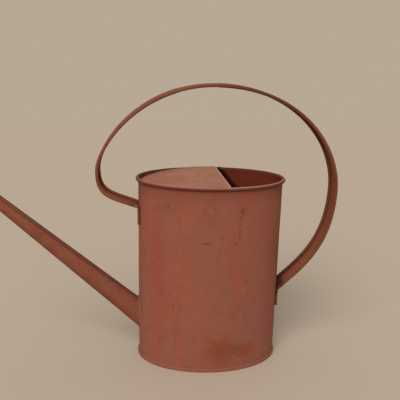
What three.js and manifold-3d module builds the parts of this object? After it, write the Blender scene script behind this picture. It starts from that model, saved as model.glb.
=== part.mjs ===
// A rusty watering can of sheet metal: an oval body with a wired rim and a folded bottom seam,
// a half hood over the spout side, a long straight spout and one strap handle with rolled edges.
// Millimetres, +Z up. The spout points along -X, the handle's bow stands out along +X, and the
// origin is the middle of the underside.
import * as THREE from 'three';
import { mergeVertices } from 'three/addons/utils/BufferGeometryUtils.js';
import Module from 'manifold-3d';

// Sheet and joints
const SHEET = 0.6;                  // thickness of every sheet
const JOINT_GAP = 0.3;              // room between two pieces that meet

// Oval body, measured over the outside of its wall
const BODY_HALF_LENGTH = 82;
const BODY_HALF_DEPTH = 52;
const BODY_HEIGHT = 216;            // underside to the middle of the rim wire
const OVAL_STEPS = 72;
const SIDE_SEAM_WIDTH = 6;          // lap of the wall, set off to the inside

// Wired rim
const RIM_WIRE_RADIUS = 1.1;
const RIM_OUTSET = 1;               // wire middle beyond the outside of the wall
const RIM_NECK = 2.2;               // the wall starts to curl this far below the wire
const CURL_FOOT_ANGLE = -100;       // degrees where the curl ends under the wire
const CURL_STEPS = 10;
const WIRE_SIDES = 10;
const RIM_ROOM_SIDES = 12;

// Folded bottom seam
const HEM_THICKNESS = 0.5;          // edge of the wall, folded flat against its outside
const HEM_HEIGHT = 2.5;
const BOTTOM_EDGE_RADIUS = 0.5;

// Half hood
const HOOD_EDGE_X = 14.3;           // open edge at mid depth
const HOOD_EDGE_SKEW = 2.2;         // degrees that the open edge lies out of square
const HOOD_EDGE_RISE = 3.2;         // top of the open edge above the rim wire
const HOOD_SLOPE = 6.7;             // fall of the hood from its open edge to the spout end
const HOOD_HEM_WIDTH = 5;
const HOOD_STEPS = 14;
const HOOD_OVERLAP = 0.9;           // reach of the hood over the outside of the wall

// Spout, a straight cone
const SPOUT_ROOT_HEIGHT = 51.8;     // axis where it meets the end of the body
const SPOUT_ANGLE = 41.3;           // degrees above level
const SPOUT_ROOT_RADIUS = 13.4;
const SPOUT_TIP_RADIUS = 5.3;
const SPOUT_LENGTH = 248;
const SPOUT_LAP_EDGE = 4.4;         // edge of the lap seam, in front of the top line
const SPOUT_LAP_WIDTH = 6;
const SPOUT_LAP_FADE = 3;           // the upper sheet sinks back to the cone over this width
const SPOUT_STEPS = 28;
const SPOUT_SPANS = 6;

// Strap handle, given by the middle line of its section in the plane y = 0
const STRAP_WIDTH = 27.5;
const STRAP_ROLL_RADIUS = 1.8;
const ROLL_TURN = 296;              // degrees that a rolled edge turns
const ROLL_STEPS = 8;
const FOOT_LENGTH = 20;
const FOOT_BEND = 2.5;              // a foot's bend starts this far from its corner
const FRONT_FOOT_DROP = 30.5;       // corner of the front foot, below the rim wire
const FRONT_BOW_REACH = 44.6;       // the bow's farthest point beyond the end of the body
const FRONT_BOW_RISE = 9.4;         // the same point above the rim wire
const REAR_FOOT_HEIGHT = 84.6;      // corner of the rear foot, above the underside
const REAR_BOW_REACH = 60.6;
const REAR_BOW_DROP = 12.4;         // the rear bow's farthest point below the rim wire
const CROWN_OFFSET = 3.6;           // middle of the crown behind the middle of the body
const CROWN_RISE = 103.6;           // above the rim wire
const BEND_STEPS = 4;
const LOW_BOW_STEPS = 13;
const HIGH_BOW_STEPS = 15;

// The handle's two ends, with heights above the underside. rise is in degrees above level where
// the strap leaves the body. low and high give the fullness of the bow below and above its
// farthest point: the shares of its height, or at the crown of its width, that the curve runs
// on straight.
const FRONT_END = {
  side: -1,
  cornerHeight: BODY_HEIGHT - FRONT_FOOT_DROP,
  rise: 19.7,
  reach: FRONT_BOW_REACH,
  bowHeight: BODY_HEIGHT + FRONT_BOW_RISE,
  low: { root: 0.83, bow: 0.72 },
  high: { bow: 0.28, crown: 0.645 },
};
const REAR_END = {
  side: 1,
  cornerHeight: REAR_FOOT_HEIGHT,
  rise: 45.5,
  reach: REAR_BOW_REACH,
  bowHeight: BODY_HEIGHT - REAR_BOW_DROP,
  low: { root: 0.28, bow: 0.59 },
  high: { bow: 0.49, crown: 0.625 },
};

// Solder
const SPOUT_FILLET = 1.6;           // reach of the solder along the wall and along the spout
const SOLDER_EDGE = 0.35;           // thickness of a solder fillet at its thin edges
const FOOT_SOLDER_STEPS = 8;
const HOOD_SOLDER = { length: 8, width: 3, height: 1.7, rearward: 4 };
const LUMP_STEPS = 20;

// Sizes that follow
const BEAD_RADIUS = RIM_WIRE_RADIUS + JOINT_GAP + SHEET;
const SEAM_INNER = HEM_THICKNESS + JOINT_GAP;
const SEAM_OUTER = SEAM_INNER + SHEET;
const WALL_FOOT = SHEET + JOINT_GAP;
const HEM_TOP = WALL_FOOT + HEM_HEIGHT;
const LIP_FOOT = HEM_TOP + JOINT_GAP;
const LIP_TOP = LIP_FOOT + SHEET;
const ROLL_Y = STRAP_WIDTH / 2 - STRAP_ROLL_RADIUS;
const FOOT_X = ovalXAt(ROLL_Y, STRAP_ROLL_RADIUS + JOINT_GAP);
const SPOUT_AXIS = new THREE.Vector3(-Math.cos(radians(SPOUT_ANGLE)), 0, Math.sin(radians(SPOUT_ANGLE)));
const SPOUT_UP = new THREE.Vector3(SPOUT_AXIS.z, 0, -SPOUT_AXIS.x);

const wasm = await Module();
wasm.setup();

function radians(degrees) {
  return THREE.MathUtils.degToRad(degrees);
}

// Point of the body's oval, moved out along its normal
function ovalPoint(angle, offset, z) {
  const normal = new THREE.Vector2(Math.cos(angle) / BODY_HALF_LENGTH, Math.sin(angle) / BODY_HALF_DEPTH);
  normal.normalize().multiplyScalar(offset);
  const x = BODY_HALF_LENGTH * Math.cos(angle) + normal.x;
  const y = BODY_HALF_DEPTH * Math.sin(angle) + normal.y;
  return new THREE.Vector3(x, y, z);
}

// Value between low and high where the rising function crosses zero
function crossing(rising, low, high) {
  const rounds = 50;
  for (let round = 0; round < rounds; round += 1) {
    const middle = (low + high) / 2;
    if (rising(middle) < 0) low = middle;
    else high = middle;
  }
  return (low + high) / 2;
}

// x of the offset oval at a given y, on the +X end
function ovalXAt(y, offset) {
  const angle = crossing((value) => ovalPoint(value, offset, 0).y - y, 0, Math.PI / 2);
  return ovalPoint(angle, offset, 0).x;
}

// How far a point near the -X end stands outside the wall
function standOff(point) {
  const side = Math.abs(point.y);
  return -point.x - ovalXAt(side, 0);
}

function ovalRing(offset, z) {
  return Array.from({ length: OVAL_STEPS }, (_, step) =>
    ovalPoint((2 * Math.PI * step) / OVAL_STEPS, offset, z));
}

function arc(centre, radius, from, to, steps) {
  return Array.from({ length: steps + 1 }, (_, step) => {
    const angle = radians(from + ((to - from) * step) / steps);
    return new THREE.Vector2(centre.x + radius * Math.cos(angle), centre.y + radius * Math.sin(angle));
  });
}

function signedVolume(positions, indices) {
  const corner = (index) => new THREE.Vector3().fromArray(positions, 3 * index);
  let volume = 0;
  for (let i = 0; i < indices.length; i += 3) {
    volume += corner(indices[i]).dot(corner(indices[i + 1]).cross(corner(indices[i + 2]))) / 6;
  }
  return volume;
}

// Triangles that close both ends of a row of rings whose section has this outline
function endTriangles(outline, lastRing) {
  const isClockwise = THREE.ShapeUtils.isClockWise(outline);
  return THREE.ShapeUtils.triangulateShape(outline, []).flatMap(([a, b, c]) => {
    const corners = [outline[a], outline[b], outline[c]];
    const [p, q, r] = THREE.ShapeUtils.isClockWise(corners) === isClockwise ? [a, b, c] : [a, c, b];
    return [p, r, q, lastRing + p, lastRing + q, lastRing + r];
  });
}

// Skin over a row of rings with the same number of points. Without an outline the last ring
// joins the first; with one, the outline closes both ends.
function loft(rings, outline = null) {
  const count = rings[0].length;
  const positions = rings.flat().flatMap((point) => point.toArray());
  const indices = [];
  const spans = outline ? rings.length - 1 : rings.length;
  for (let ring = 0; ring < spans; ring += 1) {
    const here = ring * count;
    const next = ((ring + 1) % rings.length) * count;
    for (let i = 0; i < count; i += 1) {
      const j = (i + 1) % count;
      indices.push(here + i, next + j, next + i, here + i, here + j, next + j);
    }
  }
  if (outline) indices.push(...endTriangles(outline, spans * count));
  if (signedVolume(positions, indices) < 0) indices.reverse();
  const geometry = new THREE.BufferGeometry();
  geometry.setAttribute('position', new THREE.Float32BufferAttribute(positions, 3));
  geometry.setIndex(indices);
  return geometry;
}

// Solid for joining and cutting
function solidOf(geometry) {
  const bare = geometry.clone();
  bare.deleteAttribute('normal');
  bare.deleteAttribute('uv');
  const merged = mergeVertices(bare, 1e-4);
  const mesh = new wasm.Mesh({
    numProp: 3,
    vertProperties: new Float32Array(merged.attributes.position.array),
    triVerts: new Uint32Array(merged.index.array),
  });
  return new wasm.Manifold(mesh);
}

function geometryOf(solid) {
  const { vertProperties, triVerts, numProp } = solid.getMesh();
  const positions = new Float32Array((vertProperties.length / numProp) * 3);
  for (let i = 0; i < positions.length / 3; i += 1) {
    positions.set(vertProperties.subarray(i * numProp, i * numProp + 3), i * 3);
  }
  const geometry = new THREE.BufferGeometry();
  geometry.setAttribute('position', new THREE.BufferAttribute(positions, 3));
  geometry.setIndex(new THREE.BufferAttribute(new Uint32Array(triVerts), 1));
  return geometry;
}

// Closed band that follows the oval; its section is a list of [offset, z]
function ovalBand(section) {
  return loft(section.map(([offset, z]) => ovalRing(offset, z)));
}

// Solid disc or prism on the oval; its side is a list of [offset, z]
function ovalBlock(side) {
  return loft(side.map(([offset, z]) => ovalRing(offset, z)), ovalRing(side[0][0], 0));
}

// Round tube along the rim
function rimTube(radius, sides) {
  const centre = new THREE.Vector2(RIM_OUTSET, BODY_HEIGHT);
  return ovalBand(arc(centre, radius, 0, 360, sides).slice(1).map((point) => point.toArray()));
}

// Wall of the body: hemmed foot, plain wall, and a curl over the rim wire
function bodyWall() {
  const wire = new THREE.Vector2(RIM_OUTSET, BODY_HEIGHT);
  const neck = BODY_HEIGHT - RIM_NECK;
  const curlOutside = arc(wire, BEAD_RADIUS, CURL_FOOT_ANGLE, 180, CURL_STEPS);
  const curlInside = arc(wire, BEAD_RADIUS - SHEET, 180, CURL_FOOT_ANGLE, CURL_STEPS);
  return ovalBand([
    [-SHEET, WALL_FOOT],
    [HEM_THICKNESS, WALL_FOOT],
    [HEM_THICKNESS, HEM_TOP],
    [0, HEM_TOP],
    [0, neck],
    ...curlInside.map((point) => point.toArray()),
    ...curlOutside.map((point) => point.toArray()),
    [-SHEET, neck],
  ]);
}

// Strip inside the wall at its +X end, where the two ends of the sheet lap
function sideSeam() {
  const halfAngle = SIDE_SEAM_WIDTH / 2 / BODY_HALF_DEPTH;
  const rings = [WALL_FOOT, BODY_HEIGHT - RIM_NECK].map((z) => [
    ovalPoint(-halfAngle, -SHEET / 2, z),
    ovalPoint(halfAngle, -SHEET / 2, z),
    ovalPoint(halfAngle, -2 * SHEET, z),
    ovalPoint(0, -2 * SHEET, z),
    ovalPoint(-halfAngle, -2 * SHEET, z),
  ]);
  return loft(rings, rings[0]);
}

function bodyShell() {
  const hole = boreCone(-2 * SPOUT_ROOT_RADIUS, 2 * SPOUT_ROOT_RADIUS);
  return geometryOf(solidOf(bodyWall()).add(solidOf(sideSeam())).subtract(hole));
}

// Bottom sheet: flat floor, turned up round the hem of the wall and closed over it
function bottomPan() {
  return ovalBlock([
    [SEAM_OUTER - BOTTOM_EDGE_RADIUS, 0],
    [SEAM_OUTER, BOTTOM_EDGE_RADIUS],
    [SEAM_OUTER, LIP_TOP - BOTTOM_EDGE_RADIUS],
    [SEAM_OUTER - BOTTOM_EDGE_RADIUS, LIP_TOP],
    [JOINT_GAP, LIP_TOP],
    [JOINT_GAP, LIP_FOOT],
    [SEAM_INNER, LIP_FOOT],
    [SEAM_INNER, SHEET],
  ]);
}

// Height of the hood's upper face at a distance in front of its open edge
function hoodHeight(run) {
  const share = run / (HOOD_EDGE_X + BODY_HALF_LENGTH);
  return BODY_HEIGHT + HOOD_EDGE_RISE - HOOD_SLOPE * share * share;
}

// Side view of the hood sheet, grown by a margin: a gentle curve with its edge folded under
function hoodProfile(margin) {
  const length = HOOD_EDGE_X + BODY_HALF_LENGTH + HOOD_HEM_WIDTH;
  const runs = Array.from({ length: HOOD_STEPS + 1 }, (_, step) => (length * step) / HOOD_STEPS);
  const behindHem = runs.filter((run) => run > HOOD_HEM_WIDTH + margin).reverse();
  const under = (run) => new THREE.Vector2(-run, hoodHeight(run) - SHEET - margin);
  const hemFoot = hoodHeight(0) - 2 * SHEET - margin;
  return new THREE.Shape([
    ...runs.map((run) => new THREE.Vector2(-run, hoodHeight(run) + margin)),
    ...behindHem.map(under),
    under(HOOD_HEM_WIDTH + margin),
    new THREE.Vector2(-HOOD_HEM_WIDTH - margin, hemFoot),
    new THREE.Vector2(0, hemFoot),
    new THREE.Vector2(SHEET / 2 + margin, hoodHeight(0) - SHEET),
  ]);
}

function hoodSheet(margin) {
  const depth = 2 * BODY_HALF_LENGTH;
  const sheet = new THREE.ExtrudeGeometry(hoodProfile(margin), { depth, bevelEnabled: false });
  sheet.translate(0, 0, -depth / 2);
  sheet.rotateX(Math.PI / 2);
  sheet.rotateZ(radians(HOOD_EDGE_SKEW));
  sheet.translate(HOOD_EDGE_X, 0, 0);
  return solidOf(sheet);
}

// Room that the rim and the wall keep from whatever is soldered into the mouth
function rimRoom() {
  const bead = solidOf(rimTube(BEAD_RADIUS + JOINT_GAP, RIM_ROOM_SIDES));
  const wall = ovalBand([
    [-SHEET - JOINT_GAP, BODY_HEIGHT / 2],
    [BEAD_RADIUS, BODY_HEIGHT / 2],
    [BEAD_RADIUS, BODY_HEIGHT],
    [-SHEET - JOINT_GAP, BODY_HEIGHT],
  ]);
  return bead.add(solidOf(wall));
}

function hood() {
  const top = BODY_HEIGHT + BODY_HALF_DEPTH;
  const mouth = solidOf(ovalBlock([[HOOD_OVERLAP, BODY_HEIGHT / 2], [HOOD_OVERLAP, top]]));
  return geometryOf(hoodSheet(0).intersect(mouth).subtract(rimRoom()));
}

// Solder at one end of the hood's open edge; side is -1 in front and 1 behind
function hoodSolder(side) {
  const { length, width, height, rearward } = HOOD_SOLDER;
  const lump = new THREE.SphereGeometry(1, LUMP_STEPS, LUMP_STEPS / 2);
  lump.scale(length / 2, width / 2, height / 2);
  const x = HOOD_EDGE_X - side * BODY_HALF_DEPTH * Math.tan(radians(HOOD_EDGE_SKEW)) + rearward;
  const angle = side * Math.acos(x / BODY_HALF_LENGTH);
  const seat = ovalPoint(angle, RIM_OUTSET - BEAD_RADIUS / 2, BODY_HEIGHT + BEAD_RADIUS);
  lump.translate(seat.x, seat.y, seat.z);
  return geometryOf(solidOf(lump).subtract(rimRoom()).subtract(hoodSheet(JOINT_GAP)));
}

function spoutRadius(run) {
  return SPOUT_ROOT_RADIUS + ((SPOUT_TIP_RADIUS - SPOUT_ROOT_RADIUS) * run) / SPOUT_LENGTH;
}

// Angle and radius of each point of the cone's outer section. The upper sheet of the lap
// starts with a step in front of the top line and sinks back to the cone behind it.
function spoutOutline(run) {
  const radius = spoutRadius(run);
  const edge = SPOUT_LAP_EDGE / radius;
  const back = edge - SPOUT_LAP_WIDTH / radius;
  const end = back - SPOUT_LAP_FADE / radius;
  const rest = 2 * Math.PI - (edge - end);
  const plain = Array.from({ length: SPOUT_STEPS }, (_, step) =>
    ({ angle: end - (rest * step) / SPOUT_STEPS, radius }));
  return [
    { angle: edge, radius },
    { angle: edge, radius: radius + SHEET },
    { angle: back, radius: radius + SHEET },
    ...plain,
  ];
}

function spoutPoint(run, angle, radius) {
  const point = new THREE.Vector3(-BODY_HALF_LENGTH, 0, SPOUT_ROOT_HEIGHT);
  point.addScaledVector(SPOUT_AXIS, run);
  point.addScaledVector(SPOUT_UP, radius * Math.cos(angle));
  point.y -= radius * Math.sin(angle);
  return point;
}

function spoutSection(run) {
  return spoutOutline(run).map(({ angle, radius }) => spoutPoint(run, angle, radius));
}

// The spout's hollow between two places on its axis
function boreCone(from, to) {
  const cone = new THREE.CylinderGeometry(
    spoutRadius(to) - SHEET, spoutRadius(from) - SHEET, to - from, SPOUT_STEPS);
  const turn = new THREE.Quaternion().setFromUnitVectors(new THREE.Vector3(0, 1, 0), SPOUT_AXIS);
  const middle = spoutPoint((from + to) / 2, 0, 0);
  return solidOf(cone.applyQuaternion(turn).translate(middle.x, middle.y, middle.z));
}

function spout() {
  const root = -2 * SPOUT_ROOT_RADIUS;
  const outline = spoutOutline(root).map(({ angle, radius }) =>
    new THREE.Vector2(radius * Math.cos(angle), radius * Math.sin(angle)));
  const sections = Array.from({ length: SPOUT_SPANS + 1 }, (_, span) =>
    spoutSection(root + ((SPOUT_LENGTH - root) * span) / SPOUT_SPANS));
  const cone = solidOf(loft(sections, outline));
  const body = solidOf(ovalBlock([[JOINT_GAP, -BODY_HEIGHT], [JOINT_GAP, BODY_HEIGHT]]));
  return geometryOf(cone.subtract(body).subtract(boreCone(2 * root, SPOUT_LENGTH - 2 * root)));
}

// Point a given distance outside the spout's skin and outside the wall
function filletPoint(index, overSpout, overWall) {
  const place = (run) => {
    const { angle, radius } = spoutOutline(run)[index];
    return spoutPoint(run, angle, radius + overSpout);
  };
  const reach = 4 * SPOUT_ROOT_RADIUS;
  return place(crossing((run) => standOff(place(run)) - overWall, -reach, reach));
}

// Solder round the joint of spout and wall, a hollow fillet
function spoutSolder() {
  const near = JOINT_GAP;
  const thin = JOINT_GAP + SOLDER_EDGE;
  const far = JOINT_GAP + SPOUT_FILLET;
  const middle = JOINT_GAP + SPOUT_FILLET / 3;
  const section = [[near, near], [far, near], [far, thin], [middle, middle], [thin, far], [near, far]];
  return loft(spoutOutline(0).map((_, index) =>
    section.map(([overSpout, overWall]) => filletPoint(index, overSpout, overWall))));
}

// Section of the strap, as [y, height over the middle line]: a flat web on the outside of the
// bow and a roll along each edge, turned in and open where its end meets the web
function strapOutline() {
  const inner = STRAP_ROLL_RADIUS - SHEET;
  const right = new THREE.Vector2(ROLL_Y, 0);
  const left = new THREE.Vector2(-ROLL_Y, 0);
  return [
    ...arc(right, STRAP_ROLL_RADIUS, 90, 90 - ROLL_TURN, ROLL_STEPS),
    ...arc(right, inner, 90 - ROLL_TURN, 90, ROLL_STEPS),
    ...arc(left, inner, 90, 90 + ROLL_TURN, ROLL_STEPS),
    ...arc(left, STRAP_ROLL_RADIUS, 90 + ROLL_TURN, 90, ROLL_STEPS),
  ];
}

function inPlane(x, z) {
  return new THREE.Vector3(x, 0, z);
}

// Middle line of one end of the strap, from the end of its foot up to the crown: a row of
// curves, each with its number of steps
function strapEnd({ side, cornerHeight, rise, reach, bowHeight, low, high }) {
  const corner = inPlane(side * FOOT_X, cornerHeight);
  const leaving = inPlane(side * Math.cos(radians(rise)), Math.sin(radians(rise)));
  const root = corner.clone().addScaledVector(leaving, FOOT_BEND);
  const bow = inPlane(side * (BODY_HALF_LENGTH + reach), bowHeight);
  const crown = inPlane(CROWN_OFFSET, BODY_HEIGHT + CROWN_RISE);
  const bendStart = inPlane(corner.x, corner.z - FOOT_BEND);
  const lowHeight = bow.z - root.z;
  const lowRoot = root.clone().addScaledVector(leaving, low.root * lowHeight);
  const lowBow = inPlane(bow.x, bow.z - low.bow * lowHeight);
  const highBow = inPlane(bow.x, bow.z + high.bow * (crown.z - bow.z));
  const highCrown = inPlane(crown.x + high.crown * (bow.x - crown.x), crown.z);
  return [
    { steps: 1, curve: new THREE.LineCurve3(inPlane(corner.x, corner.z - FOOT_LENGTH), bendStart) },
    { steps: BEND_STEPS, curve: new THREE.QuadraticBezierCurve3(bendStart, corner, root) },
    { steps: LOW_BOW_STEPS, curve: new THREE.CubicBezierCurve3(root, lowRoot, lowBow, bow) },
    { steps: HIGH_BOW_STEPS, curve: new THREE.CubicBezierCurve3(bow, highBow, highCrown, crown) },
  ];
}

// The strap's section at a share of a curve of its middle line; side is that of strapEnd
function strapSection(outline, side, curve, share) {
  const middle = curve.getPoint(share);
  const along = curve.getTangent(share);
  const outward = inPlane(side * along.z, -side * along.x);
  return outline.map(({ x, y }) => middle.clone().addScaledVector(outward, y).setY(x));
}

function strapRings(outline, end) {
  return strapEnd(end).flatMap(({ steps, curve }) =>
    Array.from({ length: steps }, (_, step) => strapSection(outline, end.side, curve, step / steps)));
}

function handleStrap() {
  const outline = strapOutline();
  const crown = strapSection(outline, FRONT_END.side, strapEnd(FRONT_END).at(-1).curve, 1);
  const rings = [...strapRings(outline, FRONT_END), crown, ...strapRings(outline, REAR_END).reverse()];
  return loft(rings, outline);
}

// Solder sweated in between the web of a foot and the wall
function footSolder({ side, cornerHeight }) {
  const halfWidth = ROLL_Y - STRAP_ROLL_RADIUS - JOINT_GAP;
  const webX = FOOT_X + STRAP_ROLL_RADIUS - SHEET - JOINT_GAP;
  const wallSide = Array.from({ length: FOOT_SOLDER_STEPS + 1 }, (_, step) => {
    const y = halfWidth * ((2 * step) / FOOT_SOLDER_STEPS - 1);
    return new THREE.Vector2(side * ovalXAt(Math.abs(y), JOINT_GAP), y);
  });
  const webSide = [new THREE.Vector2(side * webX, halfWidth), new THREE.Vector2(side * webX, -halfWidth)];
  const pad = new THREE.ExtrudeGeometry(new THREE.Shape([...wallSide, ...webSide]),
    { depth: FOOT_LENGTH - FOOT_BEND, bevelEnabled: false });
  pad.translate(0, 0, cornerHeight - FOOT_LENGTH);
  return pad;
}

const rust = { color: 0x8b523f, roughness: 0.85, metalness: 0.1 };
const innerRust = { color: 0x59291a, roughness: 0.9, metalness: 0.1 };
const strapRust = { color: 0x7a4631, roughness: 0.85, metalness: 0.1 };
const solder = { color: 0x8d837c, roughness: 0.6, metalness: 0.5 };

function named(name, geometry, finish) {
  const mesh = new THREE.Mesh(geometry, new THREE.MeshStandardMaterial(finish));
  mesh.name = name;
  return mesh;
}

const wateringCan = new THREE.Group();
wateringCan.add(
  named('body_shell', bodyShell(), rust),
  named('rim_wire', rimTube(RIM_WIRE_RADIUS, WIRE_SIDES), innerRust),
  named('bottom_pan', bottomPan(), rust),
  named('hood', hood(), rust),
  named('spout', spout(), rust),
  named('handle_strap', handleStrap(), strapRust),
  named('spout_solder', spoutSolder(), solder),
  named('front_foot_solder', footSolder(FRONT_END), solder),
  named('rear_foot_solder', footSolder(REAR_END), solder),
  named('hood_solder_front', hoodSolder(-1), solder),
  named('hood_solder_back', hoodSolder(1), solder),
);

export default wateringCan;
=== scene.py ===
"""A rusty sheet-metal watering can with an oval body, half hood, long spout and strap handle.

Everything is in metres. The can stands on its bottom at the origin, the spout points along -X
and the rear of the handle's bow stands out along +X.
"""

import math

import bmesh
import bpy
from mathutils import Matrix, Vector, noise


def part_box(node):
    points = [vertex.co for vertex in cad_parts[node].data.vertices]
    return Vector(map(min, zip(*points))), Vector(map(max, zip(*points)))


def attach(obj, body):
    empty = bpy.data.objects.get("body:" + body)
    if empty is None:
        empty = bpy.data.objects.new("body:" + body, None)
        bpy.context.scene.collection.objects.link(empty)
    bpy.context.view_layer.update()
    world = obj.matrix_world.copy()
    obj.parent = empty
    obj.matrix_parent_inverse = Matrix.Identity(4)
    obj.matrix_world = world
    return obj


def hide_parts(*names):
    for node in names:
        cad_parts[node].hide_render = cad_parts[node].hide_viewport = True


bl_info = {
    "name": "Rusty watering can",
    "version": (1, 0, 0),
    "blender": (4, 5, 0),
    "location": "View3D > Sidebar > Watering can",
    "description": "Builds the smooth sheet-metal pieces and the rust of a watering can round its frame",
    "category": "Object",
}

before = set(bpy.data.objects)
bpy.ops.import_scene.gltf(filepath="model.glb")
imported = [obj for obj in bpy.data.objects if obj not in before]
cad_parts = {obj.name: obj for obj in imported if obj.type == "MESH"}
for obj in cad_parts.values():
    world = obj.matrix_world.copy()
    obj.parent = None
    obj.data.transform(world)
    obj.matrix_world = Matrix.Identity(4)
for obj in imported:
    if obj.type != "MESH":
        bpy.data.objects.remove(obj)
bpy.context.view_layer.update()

# Sheet metal, the same for every can of this make
MM = 0.001
SHEET = 0.6 * MM
JOINT_GAP = 0.3 * MM
WIRE_RADIUS = 1.1 * MM
RIM_OUTSET = 0.95 * MM
RIM_NECK = 2.2 * MM
BEAD_RADIUS = WIRE_RADIUS + JOINT_GAP + SHEET
HEM_THICKNESS = 0.5 * MM
HEM_HEIGHT = 2.5 * MM
SEAM_INNER = HEM_THICKNESS + JOINT_GAP
SEAM_OUTER = SEAM_INNER + SHEET
WALL_FOOT = SHEET + JOINT_GAP
HEM_TOP = WALL_FOOT + HEM_HEIGHT
LIP_FOOT = HEM_TOP + JOINT_GAP
LIP_TOP = LIP_FOOT + SHEET

# Degrees: where the rim's curl ends under its wire, and how far the strap's edges are rolled in
CURL_END = -100
ROLL_TURN = 296
FOOT_ROLL_TURN = 268

# How far the curves of the strap's line pull past their ends, as shares of each bow's size
FRONT_PULLS = {"root": 0.83, "low_bow": 0.72, "high_bow": 0.28, "crown": 0.645}
REAR_PULLS = {"root": 0.28, "low_bow": 0.59, "high_bow": 0.49, "crown": 0.625}

# Fineness
OVAL_STEPS = 288
WALL_ROWS = 60
SPOUT_ROWS = 70
SPOUT_SIDES = 96
HOOD_STRIPS = 40
HOOD_ROWS = 26
FOOT_STEPS = 12
BEND_STEPS = 14
LOW_BOW_STEPS = 70
HIGH_BOW_STEPS = 90
ROLL_STEPS = 20
WEB_STEPS = 12
SMEAR_STEPS = 32
SMEAR_ROWS = 22

# Stage
FLOOR_RADIUS = 3.0
WORLD_LIGHT = 0.55
LAMP_LIGHT = 2.2
LAMP_SPREAD = 40
LAMP_DIRECTION = (0.40, 0.92, -0.95)
LIGHT_COLOUR = (1.0, 0.98, 0.96)
LENS = 48.71
SENSOR = 36.0
CAMERA_PLACE = (-0.063303, -0.59594, 0.35287)
CAMERA_HEADING = -0.086169
CAMERA_DIP = 0.26527
CAMERA_TILT = 0.024114


def linear(value):
    """Linear share of a display value from 0 to 255."""
    share = value / 255
    return share / 12.92 if share <= 0.04045 else ((share + 0.055) / 1.055) ** 2.4


def length_setting(name, description, default):
    """Length in metres that a user may set."""
    return bpy.props.FloatProperty(
        name=name, description=description, default=default, min=0.0, unit="LENGTH", precision=5
    )


def angle_setting(name, description, degrees):
    """Angle that a user may set, with its default in degrees."""
    return bpy.props.FloatProperty(
        name=name, description=description, default=math.radians(degrees), subtype="ANGLE"
    )


def colour_setting(name, description, red, green, blue):
    """Colour that a user may set, with its default in display values from 0 to 255."""
    return bpy.props.FloatVectorProperty(
        name=name,
        description=description,
        default=[linear(value) for value in (red, green, blue)],
        min=0.0,
        max=1.0,
        size=3,
        subtype="COLOR",
    )


class CanSizes(bpy.types.PropertyGroup):
    """Sizes of the can; the first three are read from the frame."""

    half_length: length_setting(
        "Half length", "Half the oval body's length", round(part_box("bottom_pan")[1].x - SEAM_OUTER, 5)
    )
    half_depth: length_setting(
        "Half depth", "Half the oval body's depth", round(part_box("bottom_pan")[1].y - SEAM_OUTER, 5)
    )
    rim_height: length_setting(
        "Rim height", "Height of the rim wire's middle", round(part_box("rim_wire")[1].z - WIRE_RADIUS, 5)
    )
    hood_edge: length_setting("Hood edge", "Open edge of the hood behind the middle", 13.0 * MM)
    hood_rise: length_setting("Hood rise", "Top of the open edge above the rim wire", 3.2 * MM)
    hood_slope: length_setting("Hood slope", "Fall of the hood to the spout end", 6.7 * MM)
    hood_overlap: length_setting("Hood overlap", "Reach of the hood over the rim", 0.9 * MM)
    spout_height: length_setting("Spout height", "Spout axis where it meets the wall", 51.8 * MM)
    spout_length: length_setting("Spout length", "From the wall to the tip", 248 * MM)
    spout_root: length_setting("Spout root radius", "Radius at the wall", 13.4 * MM)
    spout_tip: length_setting("Spout tip radius", "Radius at the tip", 5.3 * MM)
    spout_lap: length_setting("Spout lap", "Edge of the lap seam in front of the top line", 4.4 * MM)
    strap_width: length_setting("Strap width", "Width of the handle strap", 27.5 * MM)
    strap_roll: length_setting("Strap roll", "Radius of the strap's rolled edges", 1.8 * MM)
    crown_height: length_setting("Crown height", "Crown of the handle above the rim wire", 103.6 * MM)
    crown_place: length_setting("Crown place", "Crown of the handle behind the body's middle", 3.6 * MM)
    front_corner: length_setting("Front corner", "Bend above the front foot, below the rim wire", 30.5 * MM)
    front_reach: length_setting("Front reach", "Front bow of the handle past the wall", 44.6 * MM)
    front_bow: length_setting("Front bow", "Height of the front bow above the rim wire", 9.4 * MM)
    rear_corner: length_setting("Rear corner", "Height of the bend above the rear foot", 84.6 * MM)
    rear_reach: length_setting("Rear reach", "Rear bow of the handle past the wall", 60.6 * MM)
    rear_bow: length_setting("Rear bow", "Depth of the rear bow below the rim wire", 12.4 * MM)
    unevenness: length_setting("Unevenness", "Depth of the soft dents in the sheet", 0.3 * MM)
    spout_angle: angle_setting("Spout angle", "Rise of the spout above level", 41.3)
    hood_skew: angle_setting("Hood skew", "Turn of the hood's open edge out of square", 2.8)
    front_rise: angle_setting("Front rise", "Rise of the strap from its front foot", 19.7)
    rear_rise: angle_setting("Rear rise", "Rise of the strap from its rear foot", 45.5)


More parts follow.
